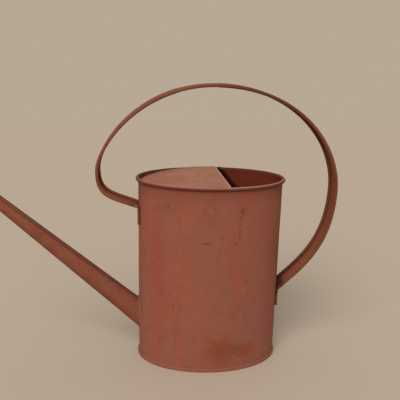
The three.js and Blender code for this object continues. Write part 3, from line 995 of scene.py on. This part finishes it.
class RUSTCAN_OT_body(bpy.types.Operator):
    """Build the oval wall with its hemmed foot, its curl over the rim wire and the spout hole"""

    bl_idname = "rustcan.body"
    bl_label = "Body wall"

    def execute(self, context):
        sizes = context.scene.can_sizes
        bm = spun_on_oval(sizes, wall_section(sizes))
        add_wall_lap(bm, sizes)
        soften_sheet(bm, sizes)
        store_share(bm, "wear_and_highlight", lambda place: self.wear_and_highlight(sizes, place))
        paint_faces(bm, 1, lambda face: self.is_inside(face, sizes))
        paint_faces(bm, 2, lambda face: self.is_groove(face, sizes))
        materials = [body_rust(context), inside_rust(context), groove_shade(context)]
        piece = finish_piece(context, bm, "body_wall", "body_shell", materials)
        cut_spout_hole(piece, sizes)
        return {"FINISHED"}

    @staticmethod
    def wear_and_highlight(sizes, place):
        """Painted highlight on the top of the rim, strongest on the camera's side."""
        above_wire = place.z - sizes.rim_height
        top = smooth_step(above_wire, 0.4 * BEAD_RADIUS, BEAD_RADIUS)
        return top * smooth_step(-place.y, -10 * MM, 25 * MM)

    @staticmethod
    def is_inside(face, sizes):
        """The inner side of the wall and of its curl."""
        centre = face.calc_center_median()
        inward = face.normal.x * centre.x + face.normal.y * centre.y < 0
        return inward and centre.z < sizes.rim_height + 0.6 * BEAD_RADIUS

    def is_groove(self, face, sizes):
        """The narrow strip of the inner side that shows above the low end of the hood."""
        centre = face.calc_center_median()
        above_hood = centre.x < sizes.hood_edge and centre.z > sizes.rim_height - 6 * MM
        return above_hood and self.is_inside(face, sizes)


class RUSTCAN_OT_rim_wire(bpy.types.Operator):
    """Finish the wire that the rim is curled round, which shows only from below"""

    bl_idname = "rustcan.rim_wire"
    bl_label = "Rim wire"

    def execute(self, context):
        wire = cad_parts["rim_wire"]
        wire.data.materials.clear()
        wire.data.materials.append(inside_rust(context))
        return {"FINISHED"}


class RUSTCAN_OT_bottom(bpy.types.Operator):
    """Build the bottom sheet with its lip folded round the foot of the wall"""

    bl_idname = "rustcan.bottom"
    bl_label = "Bottom pan"

    def execute(self, context):
        sizes = context.scene.can_sizes
        corner, inner_corner, crease = 0.5 * MM, 0.3 * MM, 0.15 * MM
        outer = SEAM_OUTER - corner
        reach = sizes.half_length - 4 * MM
        floor = [(-sizes.half_length + radius, SHEET) for radius in spread(0, reach, 30)]
        underside = [(offset, 0) for offset, _ in reversed(floor)]
        section = [
            *floor,
            (SEAM_INNER - inner_corner, SHEET),
            (SEAM_INNER, SHEET + inner_corner),
            (SEAM_INNER, LIP_FOOT),
            (JOINT_GAP, LIP_FOOT),
            (JOINT_GAP, LIP_TOP - crease),
            (JOINT_GAP + crease, LIP_TOP),
            *arc((outer, LIP_TOP - corner), corner, 90, 0, 6),
            *arc((outer, corner), corner, 0, -90, 6),
            *underside,
        ]
        bm = spun_on_oval(sizes, section, closed=False)
        # Painted highlight along the top of the lip folded round the wall's foot.
        store_share(bm, "wear_and_highlight", lambda place: 0.6 * smooth_step(place.z, LIP_TOP - corner, LIP_TOP))
        paint_faces(bm, 1, self.is_floor)
        materials = [body_rust(context), inside_rust(context)]
        finish_piece(context, bm, "bottom_sheet", "bottom_pan", materials)
        return {"FINISHED"}

    @staticmethod
    def is_floor(face):
        """The upper side of the bottom, inside the can."""
        centre = face.calc_center_median()
        return face.normal.z > 0.5 and centre.z < LIP_FOOT - SHEET


class RUSTCAN_OT_hood(bpy.types.Operator):
    """Build the half hood over the spout end of the mouth, with its folded open edge"""

    bl_idname = "rustcan.hood"
    bl_label = "Half hood"

    def execute(self, context):
        sizes = context.scene.can_sizes
        middle = Vector((sizes.hood_edge, 0, 0))
        outward = Vector((math.cos(sizes.hood_skew), math.sin(sizes.hood_skew), 0))

        def behind_edge(place):
            """How far a place lies behind the open edge; negative in front of it."""
            return (place - middle).dot(outward)

        bm = self.flat_sheet(sizes, middle, outward)
        touch = 0.001 * MM
        borders = [edge for edge in bm.edges if edge.is_boundary]
        open_edge = [edge for edge in borders if all(abs(behind_edge(v.co)) < touch for v in edge.verts)]
        on_rim = {vert for edge in borders if edge not in open_edge for vert in edge.verts}
        crest = sizes.rim_height + BEAD_RADIUS + JOINT_GAP / 6 + SHEET / 2
        for vert in bm.verts:
            height = self.height(sizes, -behind_edge(vert.co)) - SHEET / 2
            vert.co.z = min(height, crest) if vert in on_rim else height
        self.fold_under(bm, open_edge, outward)
        bmesh.ops.recalc_face_normals(bm, faces=bm.faces)
        bmesh.ops.solidify(bm, geom=bm.faces[:], thickness=SHEET)
        top = max(vert.co.z for vert in bm.verts)
        bmesh.ops.translate(bm, vec=(0, 0, self.height(sizes, 0) - top), verts=bm.verts)
        # Painted highlight along the folded open edge.
        painted_highlight = 1.2 * MM
        store_share(bm, "wear_and_highlight", lambda place: smooth_step(behind_edge(place), -painted_highlight, 0))
        finish_piece(context, bm, "half_hood", "hood", [hood_rust(context)])
        return {"FINISHED"}

    def flat_sheet(self, sizes, middle, outward):
        """The hood's outline laid flat, cut off at its open edge and ruled into small faces."""
        bm = bmesh.new()
        bmesh.ops.create_circle(bm, cap_ends=True, segments=OVAL_STEPS, radius=sizes.half_length)
        for vert in bm.verts:
            vert.co = self.outline_point(sizes, math.atan2(vert.co.y, vert.co.x))
        border = 1.4 * MM
        bmesh.ops.inset_region(
            bm, faces=bm.faces[:], thickness=border, use_boundary=True, use_even_offset=True
        )
        self.cut(bm, middle, outward, clear_outer=True)
        for run in spread(0, sizes.half_length + sizes.hood_edge, HOOD_STRIPS)[1:-1]:
            self.cut(bm, middle - outward * run, outward)
        for y in spread(-sizes.half_depth, sizes.half_depth, HOOD_ROWS)[1:-1]:
            self.cut(bm, (0, y, 0), (0, 1, 0))
        return bm

    @staticmethod
    def cut(bm, point, across, clear_outer=False):
        """Cuts every face along a plane; clear_outer drops what lies past it."""
        geometry = bm.verts[:] + bm.edges[:] + bm.faces[:]
        bmesh.ops.bisect_plane(
            bm, geom=geometry, plane_co=point, plane_no=across, clear_outer=clear_outer
        )

    @staticmethod
    def height(sizes, run):
        """Top of the hood at a distance in front of its open edge."""
        share = run / (sizes.hood_edge + sizes.half_length)
        return sizes.rim_height + sizes.hood_rise - sizes.hood_slope * share * abs(share)

    def outline_point(self, sizes, angle):
        """Point of the hood's outline: over the rim where it lies high, inside the wall where low."""
        run = sizes.hood_edge - sizes.half_length * math.cos(angle)
        above = self.height(sizes, run) - SHEET - sizes.rim_height
        room = BEAD_RADIUS + JOINT_GAP / 4
        beside_bead = RIM_OUTSET - math.sqrt(max(room**2 - above**2, 0.0))
        inside_wall = -SHEET - JOINT_GAP
        if above >= room:
            offset = sizes.hood_overlap
        elif above > -room / 2:
            offset = min(beside_bead, sizes.hood_overlap)
        else:
            offset = min(beside_bead, inside_wall)
        return oval_point(sizes, angle, offset, 0)

    @staticmethod
    def fold_under(bm, edges, outward):
        """Folds the open edge down and back under the sheet, as a narrow hem."""
        bend = 0.45 * MM
        hem = 5 * MM
        turns = spread(0, math.pi, 6)
        ring = [outward * (bend * math.sin(turn)) + Vector((0, 0, bend * math.cos(turn))) for turn in turns]
        moves = [after - before for before, after in zip(ring, ring[1:])]
        for move in [*moves, outward * -hem]:
            made = bmesh.ops.extrude_edge_only(bm, edges=edges)["geom"]
            verts = [item for item in made if isinstance(item, bmesh.types.BMVert)]
            bmesh.ops.translate(bm, vec=move, verts=verts)
            fresh = set(verts)
            edges = [
                item
                for item in made
                if isinstance(item, bmesh.types.BMEdge) and all(vert in fresh for vert in item.verts)
            ]


class RUSTCAN_OT_spout(bpy.types.Operator):
    """Build the long tapered spout with the lap seam along it"""

    bl_idname = "rustcan.spout"
    bl_label = "Spout"

    def execute(self, context):
        sizes = context.scene.can_sizes
        outside = self.skin(sizes, 0)
        inside = self.skin(sizes, SHEET)
        bm = swept([*outside, *reversed(inside)], closed=True)
        store_share(bm, "shade_and_grime_share", lambda place: self.shade_and_grime_share(sizes, place))
        paint_faces(bm, 1, lambda face: self.is_inside(face, sizes))
        materials = [spout_rust(context), inside_rust(context)]
        finish_piece(context, bm, "spout_tube", "spout", materials)
        return {"FINISHED"}

    @staticmethod
    def off_axis(sizes, place):
        """Way from the spout's axis straight out to a place."""
        way = place - Vector((-sizes.half_length, 0, sizes.spout_height))
        along = spout_axis(sizes)
        return way - along * way.dot(along)

    def is_inside(self, face, sizes):
        return self.off_axis(sizes, face.calc_center_median()).dot(face.normal) < 0

    def shade_and_grime_share(self, sizes, place):
        """Dark dirt lies along the top of the spout; painted shade marks a thin line at the lap's edge and
        the underside.
        """
        side = self.off_axis(sizes, place)
        angle = math.atan2(-side.y, side.z / math.cos(sizes.spout_angle))
        on_top = 1 - smooth_step(abs(angle + 0.15), 0.25, 0.5)
        # Painted shade: a thin line along the lap's edge.
        at_lap = 1 - smooth_step(abs(angle * side.length - sizes.spout_lap), 0.2 * MM, 0.7 * MM)
        # Painted shade on the underside.
        below = smooth_step(abs(angle), 2.45, 2.9)
        return max(0.7 * on_top, 0.4 * at_lap, 0.85 * below)

    def skin(self, sizes, inset):
        """Rings of the spout's skin from the wall to the tip, closer together near the wall."""
        roots = [self.root_run(sizes, index, inset) for index in range(SPOUT_SIDES)]
        rings = []
        for step in range(SPOUT_ROWS + 1):
            share = (step / SPOUT_ROWS + (step / SPOUT_ROWS) ** 2) / 2
            runs = [root + (sizes.spout_length - root) * share for root in roots]
            rings.append([self.skin_point(sizes, run, index, inset) for index, run in enumerate(runs)])
        return rings

    @staticmethod
    def skin_point(sizes, run, index, inset):
        """Point of the outside, with its lap, or of the plain inside, which lies inset from it."""
        angle, radius = spout_section(sizes, run)[index]
        if inset > 0:
            radius = spout_radius(sizes, run) - inset
        return spout_point(sizes, run, angle, radius)

    def root_run(self, sizes, index, inset):
        """Where one line of the skin reaches the wall."""

        def stand_off(run):
            point = self.skin_point(sizes, run, index, inset)
            return -point.x - oval_end(sizes, point.y, JOINT_GAP / 3)

        return crossing(stand_off, -3 * sizes.spout_root, 3 * sizes.spout_root)


def spout_section(sizes, run):
    """Angle and radius of each point round the spout, with the raised edge of its lap."""
    radius = spout_radius(sizes, run)
    lap_width, fade_width = 6 * MM, 3 * MM
    edge = sizes.spout_lap / radius
    back = edge - lap_width / radius
    end = back - fade_width / radius
    flat = [(angle, radius + SHEET) for angle in spread(edge, back, 5)]
    fade = [
        (angle, radius + SHEET * (1 - smooth_step(step, 0, 4)))
        for step, angle in enumerate(spread(back, end, 4))
    ][1:]
    rest = 2 * math.pi - (edge - end)
    steps = SPOUT_SIDES - len(flat) - len(fade)
    plain = [(end - rest * step / steps, radius) for step in range(1, steps + 1)]
    return flat + fade + plain


class RUSTCAN_OT_handle(bpy.types.Operator):
    """Build the strap handle with its rolled edges, from foot to foot"""

    bl_idname = "rustcan.handle"
    bl_label = "Strap handle"

    def execute(self, context):
        sizes = context.scene.can_sizes
        bm = swept([self.section(sizes, *stop) for stop in strap_line(sizes)])
        store_share(bm, "wear_and_highlight", lambda place: self.wear_and_highlight(sizes, place))
        store_share(bm, "shade_and_grime_share", lambda place: self.shade_and_grime_share(sizes, place))
        finish_piece(context, bm, "strap", "handle_strap", [strap_rust(context)])
        return {"FINISHED"}

    @staticmethod
    def wear_and_highlight(sizes, place):
        """Painted highlight on the outside of the crown, stronger towards the spout."""
        crown = smooth_step(place.z - sizes.rim_height, 20 * MM, 80 * MM)
        front = smooth_step(-place.x, -60 * MM, 40 * MM)
        return crown * (0.25 + 0.75 * front)

    @staticmethod
    def shade_and_grime_share(sizes, place):
        """Painted shade in the rolled edges, most low on the bows, on the far roll above the rear foot and
        at the crown, and where the feet meet the wall.
        """
        above_rim = place.z - sizes.rim_height
        low = 1 - smooth_step(above_rim, -20 * MM, 90 * MM)
        half_width = sizes.strap_width / 2
        roll_width = 2 * sizes.strap_roll
        roll = smooth_step(abs(place.y), half_width - 1.25 * roll_width, half_width - roll_width)
        at_wall = 0.0
        if above_rim <= 0:
            at_wall = 1 - smooth_step(abs(place.x) - sizes.half_length, 2.5 * MM, 6 * MM)
        crown = smooth_step(above_rim, 40 * MM, 85 * MM)
        crown *= 0.3 + 0.35 * smooth_step(place.x, -60 * MM, 60 * MM)
        if place.x < 0:
            return max((0.1 + 0.15 * low + crown) * roll, 0.3 * at_wall)
        far_side = smooth_step(place.y, 0, half_width)
        near_foot = 1 - smooth_step(place.z, 95 * MM, 150 * MM)
        above_foot = smooth_step(place.z, 76 * MM, 80 * MM)
        return above_foot * max(roll * (0.1 + 0.3 * low + 0.6 * far_side * near_foot + crown), at_wall)

    @staticmethod
    def section(sizes, middle, along, fullness):
        """Section of the strap: a web, and a roll turned in along each edge, flatter at the feet."""
        outer = foot_roll(sizes) + (sizes.strap_roll - foot_roll(sizes)) * fullness
        inner = outer - SHEET
        turn = FOOT_ROLL_TURN + (ROLL_TURN - FOOT_ROLL_TURN) * fullness
        across = sizes.strap_width / 2 - sizes.strap_roll
        web = spread(across, -across, WEB_STEPS)[1:-1]
        thin = sizes.strap_roll - SHEET
        outline = [
            *oval_arc(across, thin, inner, 90 - turn, 90),
            *[(y, inner) for y in web],
            *oval_arc(-across, thin, inner, 90, 90 + turn),
            *oval_arc(-across, sizes.strap_roll, outer, 90 + turn, 90),
            *[(y, outer) for y in reversed(web)],
            *oval_arc(across, sizes.strap_roll, outer, 90, 90 - turn),
        ]
        outward = Vector((-along.z, 0, along.x))
        return [middle + outward * out + Vector((0, y, 0)) for y, out in outline]


def oval_arc(across, half_width, half_height, start, end):
    """Arc of an oval roll in the strap's section, as (across, out)."""
    turns = [math.radians(angle) for angle in spread(start, end, ROLL_STEPS)]
    return [(across + half_width * math.cos(a), half_height * math.sin(a)) for a in turns]


def foot_roll(sizes):
    """Half the height of the rolled edges where they are hammered flat on the wall."""
    roll_y = sizes.strap_width / 2 - sizes.strap_roll
    web_outside = sizes.half_length + SHEET + JOINT_GAP / 2
    return (web_outside - oval_end(sizes, roll_y, JOINT_GAP / 3)) / 2


def bezier(controls, share):
    """Point and direction of a Bezier curve at a share of its way."""
    points = list(controls)
    while len(points) > 2:
        points = [a.lerp(b, share) for a, b in zip(points, points[1:])]
    return points[0].lerp(points[1], share), (points[1] - points[0]).normalized()


def strap_end(sizes, side, corner_height, rise, reach, bow_height, pulls):
    """Stops of the strap's middle line from the end of one foot up to the crown."""
    foot_length, bend, opening = 20 * MM, 2.2 * MM, 7 * MM
    roll_y = sizes.strap_width / 2 - sizes.strap_roll
    foot_x = sizes.half_length + SHEET + JOINT_GAP / 2 - foot_roll(sizes)
    corner_height -= (oval_end(sizes, roll_y, sizes.strap_roll + JOINT_GAP) - foot_x) * math.tan(rise)

    def place(x, z):
        """Place in the strap's middle plane; x is counted towards this end."""
        return Vector((side * x, 0, z))

    start = place(foot_x, corner_height - foot_length)
    bend_start = place(foot_x, corner_height - bend)
    corner = place(foot_x, corner_height)
    leaving = place(math.cos(rise), math.sin(rise))
    root = corner + leaving * bend
    bow = place(sizes.half_length + reach, bow_height)
    crown = Vector((sizes.crown_place, 0, sizes.rim_height + sizes.crown_height))
    low_height = bow.z - root.z
    high_height = crown.z - bow.z
    root_pull = root + leaving * (pulls["root"] * low_height)
    low_pull = bow - Vector((0, 0, pulls["low_bow"] * low_height))
    high_pull = bow + Vector((0, 0, pulls["high_bow"] * high_height))
    crown_pull = crown + Vector((pulls["crown"] * (bow.x - crown.x), 0, 0))
    curves = [
        ((start, bend_start), FOOT_STEPS),
        ((bend_start, corner, root), BEND_STEPS),
        ((root, root_pull, low_pull, bow), LOW_BOW_STEPS),
        ((bow, high_pull, crown_pull, crown), HIGH_BOW_STEPS),
    ]
    stops = [bezier(curve, share) for curve, steps in curves for share in spread(0, 1, steps)[:-1]]
    stops.append((crown, place(-1, 0)))
    return [(point, along, smooth_step((point - corner).dot(leaving), 0, opening)) for point, along in stops]


def strap_line(sizes):
    """Stops of the strap's middle line from its front foot over the crown to its rear foot."""
    front_corner = sizes.rim_height - sizes.front_corner
    front_bow = sizes.rim_height + sizes.front_bow
    rear_bow = sizes.rim_height - sizes.rear_bow
    front = strap_end(sizes, -1, front_corner, sizes.front_rise, sizes.front_reach, front_bow, FRONT_PULLS)
    rear = strap_end(sizes, 1, sizes.rear_corner, sizes.rear_rise, sizes.rear_reach, rear_bow, REAR_PULLS)
    return [*front, *[(point, -along, fullness) for point, along, fullness in reversed(rear[:-1])]]


class RUSTCAN_OT_solder(bpy.types.Operator):
    """Build the fillet round the spout's root, the solder under both feet and the smears at the hood"""

    bl_idname = "rustcan.solder"
    bl_label = "Solder"

    def execute(self, context):
        sizes = context.scene.can_sizes
        self.spout_fillet(context, sizes)
        for side, name in ((-1, "front"), (1, "back")):
            self.hood_smear(context, sizes, side, name)
        for side, name in ((-1, "front"), (1, "rear")):
            self.foot_pad(context, sizes, side, name)
        return {"FINISHED"}

    @staticmethod
    def foot_pad(context, sizes, side, name):
        """Solder between a foot and the wall, run out to a thin lip below the foot."""
        node = name + "_foot_solder"
        foot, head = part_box(node)
        half_width = sizes.strap_width / 2 - 2 * sizes.strap_roll - JOINT_GAP / 3
        across = spread(-half_width, half_width, 16)
        lip, lip_thickness, sunk = 1.2 * MM, 0.1 * MM, 0.05 * MM
        web = sizes.half_length + 0.9 * JOINT_GAP / 2
        rings = []
        for share in spread(0, 1, 6):
            z = foot.z - lip + (head.z - foot.z + lip) * share
            fullness = smooth_step(share, -0.1, 0.2)
            wall = [Vector((side * oval_end(sizes, y, -sunk), y, z)) for y in across]
            outer = []
            for y in reversed(across):
                thin = oval_end(sizes, y, lip_thickness)
                outer.append(Vector((side * (thin + (web - thin) * fullness), y, z)))
            rings.append([*wall, *outer])
        bm = swept(rings)
        finish_piece(context, bm, "foot_pad_" + name, node, [rusted_solder(context)])

    def spout_fillet(self, context, sizes):
        """A hollow fillet of uneven width between the spout and the wall."""
        thin, width, sway = 0.2 * MM, 1.6 * MM, 0.22
        sides_per_radian = 15.3
        rings = []
        for index in range(SPOUT_SIDES):
            turn = index / sides_per_radian
            round_way = Vector((math.cos(turn), math.sin(turn), 0))
            reach = width * (1 + sway * noise.noise(round_way * 2.5))
            hollow = arc((thin + reach, thin + reach), reach, 270, 180, 10)
            section = [(0, 0), (thin + reach, 0), *hollow, (0, thin + reach)]
            rings.append([self.fillet_point(sizes, index, *point) for point in section])
        bm = swept(rings, closed=True)
        store_share(bm, "wear_and_highlight", lambda place: 0.5)
        materials = [spout_rust(context)]
        finish_piece(context, bm, "spout_fillet", "spout_solder", materials, sharp=60)

    @staticmethod
    def fillet_point(sizes, index, over_spout, over_wall):
        """Point at given distances outside the spout's skin and outside the wall."""
        angle, radius = spout_section(sizes, 0)[index]

        def place(run):
            return spout_point(sizes, run, angle, radius + over_spout)

        def stand_off(run):
            point = place(run)
            return -point.x - oval_end(sizes, point.y, 0) - over_wall

        return place(crossing(stand_off, -4 * sizes.spout_root, 4 * sizes.spout_root))

    @staticmethod
    def hood_smear(context, sizes, side, name):
        """Uneven solder on the rim's bead beside the hood's open edge, with painted shade at the back that
        is near black next to the edge.
        """
        edge = sizes.hood_edge - side * sizes.half_depth * math.tan(sizes.hood_skew)
        length, start, end = (9 * MM, 5, 110) if side < 0 else (12.5 * MM, 35, 190)
        thickness, sunk = 0.55 * MM, 0.12 * MM
        bead = (RIM_OUTSET, 0)
        under = arc(bead, BEAD_RADIUS - SHEET / 2, end, start, SMEAR_ROWS)
        rings = []
        for share in spread(0, 1, SMEAR_STEPS):
            angle = side * math.acos((edge + length * share) / sizes.half_length)
            over = []
            for across in spread(0, 1, SMEAR_ROWS):
                lump = 1 + 0.5 * noise.noise(Vector((9 * share, 4 * across, side)))
                height = thickness * lump * math.sin(math.pi * share) * math.sin(math.pi * across)
                radius = BEAD_RADIUS - sunk + height
                turn = math.radians(start + (end - start) * across)
                over.append((bead[0] + radius * math.cos(turn), bead[1] + radius * math.sin(turn)))
            rings.append([oval_point(sizes, angle, out, sizes.rim_height + z) for out, z in over + under])
        bm = swept(rings)
        # Painted shade on the back smear, near black by the open edge and fading away from it.
        fading = (edge + 5 * MM, edge + 8 * MM)
        if side > 0:
            store_share(bm, "shade_and_grime_share", lambda place: 1 - 0.5 * smooth_step(place.x, *fading))
        node = "hood_solder_" + name
        finish_piece(context, bm, "hood_smear_" + name, node, [grey_solder(context)])


class RUSTCAN_OT_stage(bpy.types.Operator):
    """Set the pale floor and backdrop, the soft lights and the camera"""

    bl_idname = "rustcan.stage"
    bl_label = "Stage, lights and camera"

    def execute(self, context):
        self.floor(context)
        self.world(context)
        self.lamp(context)
        self.camera(context)
        context.scene.view_settings.view_transform = "Standard"
        return {"FINISHED"}

    @staticmethod
    def floor(context):
        """Wide round floor, which fades into the background far from the can."""
        bm = bmesh.new()
        bmesh.ops.create_circle(bm, cap_ends=True, segments=96, radius=FLOOR_RADIUS)
        mesh = bpy.data.meshes.new("floor")
        bm.to_mesh(mesh)
        bm.free()
        mesh.materials.append(stage_material(context.scene.can_colours))
        floor = bpy.data.objects.new("floor", mesh)
        context.scene.collection.objects.link(floor)

    @staticmethod
    def world(context):
        """Even light from all sides, and the floor's own colour wherever the world itself is seen."""
        world = bpy.data.worlds.new("soft_room")
        context.scene.world = world
        world.use_nodes = True
        wiring = Wiring(world.node_tree)
        ray = wiring.node("ShaderNodeLightPath").outputs
        seen = wiring.math("MAXIMUM", ray["Is Camera Ray"], ray["Is Glossy Ray"])
        seen = wiring.math("MAXIMUM", seen, ray["Is Transmission Ray"])
        light = wiring.node(
            "ShaderNodeBackground", {"Color": solid(LIGHT_COLOUR), "Strength": WORLD_LIGHT}
        )
        colour = solid(context.scene.can_colours.stage)
        backdrop = wiring.node("ShaderNodeBackground", {"Color": colour, "Strength": 1.0})
        both = wiring.node(
            "ShaderNodeMixShader",
            {0: seen, 1: light.outputs["Background"], 2: backdrop.outputs["Background"]},
        )
        wiring.node("ShaderNodeOutputWorld", {"Surface": both.outputs["Shader"]})

    @staticmethod
    def lamp(context):
        """One broad soft lamp, high on the left in front of the can."""
        light = bpy.data.lights.new("key", "SUN")
        light.energy = LAMP_LIGHT
        light.angle = math.radians(LAMP_SPREAD)
        light.color = LIGHT_COLOUR
        lamp = bpy.data.objects.new("key", light)
        lamp.rotation_euler = Vector(LAMP_DIRECTION).to_track_quat("-Z", "Y").to_euler()
        context.scene.collection.objects.link(lamp)

    @staticmethod
    def camera(context):
        """Camera at the front, a little above the rim, turned to the can."""
        data = bpy.data.cameras.new("camera")
        data.sensor_width = SENSOR
        data.lens = LENS
        camera = bpy.data.objects.new("camera", data)
        turn = (
            Matrix.Rotation(CAMERA_HEADING, 4, "Z")
            @ Matrix.Rotation(math.pi / 2 - CAMERA_DIP, 4, "X")
            @ Matrix.Rotation(CAMERA_TILT, 4, "Z")
        )
        camera.matrix_world = Matrix.Translation(CAMERA_PLACE) @ turn
        data.clip_start = 0.01
        context.scene.collection.objects.link(camera)
        context.scene.camera = camera


def stage_material(colours):
    """Matt pale floor with a very fine, even tooth, see-through towards its far edge."""
    material = bpy.data.materials.new("pale_stage")
    material.use_nodes = True
    wiring = Wiring(material.node_tree)
    place = wiring.node("ShaderNodeTexCoord").outputs["Object"]
    clouds = wiring.noise(place, 4.0, 3.0)
    colour = wiring.mix(clouds, solid(colours.stage, 0.96), solid(colours.stage, 1.0))
    bump = wiring.node(
        "ShaderNodeBump", {"Height": wiring.noise(place, 300.0), "Strength": 0.05, "Distance": 0.0005}
    )
    floor = wiring.node(
        "ShaderNodeBsdfPrincipled",
        {
            "Base Color": colour,
            "Roughness": 0.95,
            "Normal": bump.outputs["Normal"],
            "Specular IOR Level": 0.0,
        },
    )
    far = wiring.node("ShaderNodeVectorMath", {0: place}, operation="LENGTH").outputs["Value"]
    clear = wiring.node("ShaderNodeBsdfTransparent")
    faded = wiring.node(
        "ShaderNodeMixShader",
        {
            0: wiring.ramp(far, 0.3 * FLOOR_RADIUS, 0.95 * FLOOR_RADIUS),
            1: floor.outputs["BSDF"],
            2: clear.outputs["BSDF"],
        },
    )
    wiring.node("ShaderNodeOutputMaterial", {"Surface": faded.outputs["Shader"]})
    return material


class RUSTCAN_PT_sidebar(bpy.types.Panel):
    """Lists the can's sizes, colours and building steps"""

    bl_idname = "RUSTCAN_PT_sidebar"
    bl_label = "Watering can"
    bl_space_type = "VIEW_3D"
    bl_region_type = "UI"
    bl_category = "Watering can"

    def draw(self, context):
        layout = self.layout
        for group_name in ("can_sizes", "can_colours"):
            settings = getattr(context.scene, group_name)
            box = layout.box()
            for key in settings.bl_rna.properties.keys():
                if key not in ("name", "rna_type"):
                    box.prop(settings, key)
        for operator in OPERATORS:
            layout.operator(operator.bl_idname)


OPERATORS = (
    RUSTCAN_OT_body,
    RUSTCAN_OT_rim_wire,
    RUSTCAN_OT_bottom,
    RUSTCAN_OT_hood,
    RUSTCAN_OT_spout,
    RUSTCAN_OT_handle,
    RUSTCAN_OT_solder,
    RUSTCAN_OT_stage,
)
CLASSES = (CanSizes, CanColours, *OPERATORS, RUSTCAN_PT_sidebar)


def register():
    for cls in CLASSES:
        bpy.utils.register_class(cls)
    bpy.types.Scene.can_sizes = bpy.props.PointerProperty(type=CanSizes)
    bpy.types.Scene.can_colours = bpy.props.PointerProperty(type=CanColours)


def unregister():
    del bpy.types.Scene.can_colours
    del bpy.types.Scene.can_sizes
    for cls in reversed(CLASSES):
        bpy.utils.unregister_class(cls)


def main():
    register()
    bpy.ops.rustcan.body()
    bpy.ops.rustcan.rim_wire()
    bpy.ops.rustcan.bottom()
    bpy.ops.rustcan.hood()
    bpy.ops.rustcan.spout()
    bpy.ops.rustcan.handle()
    bpy.ops.rustcan.solder()
    bpy.ops.rustcan.stage()


if __name__ == "__main__":
    main()
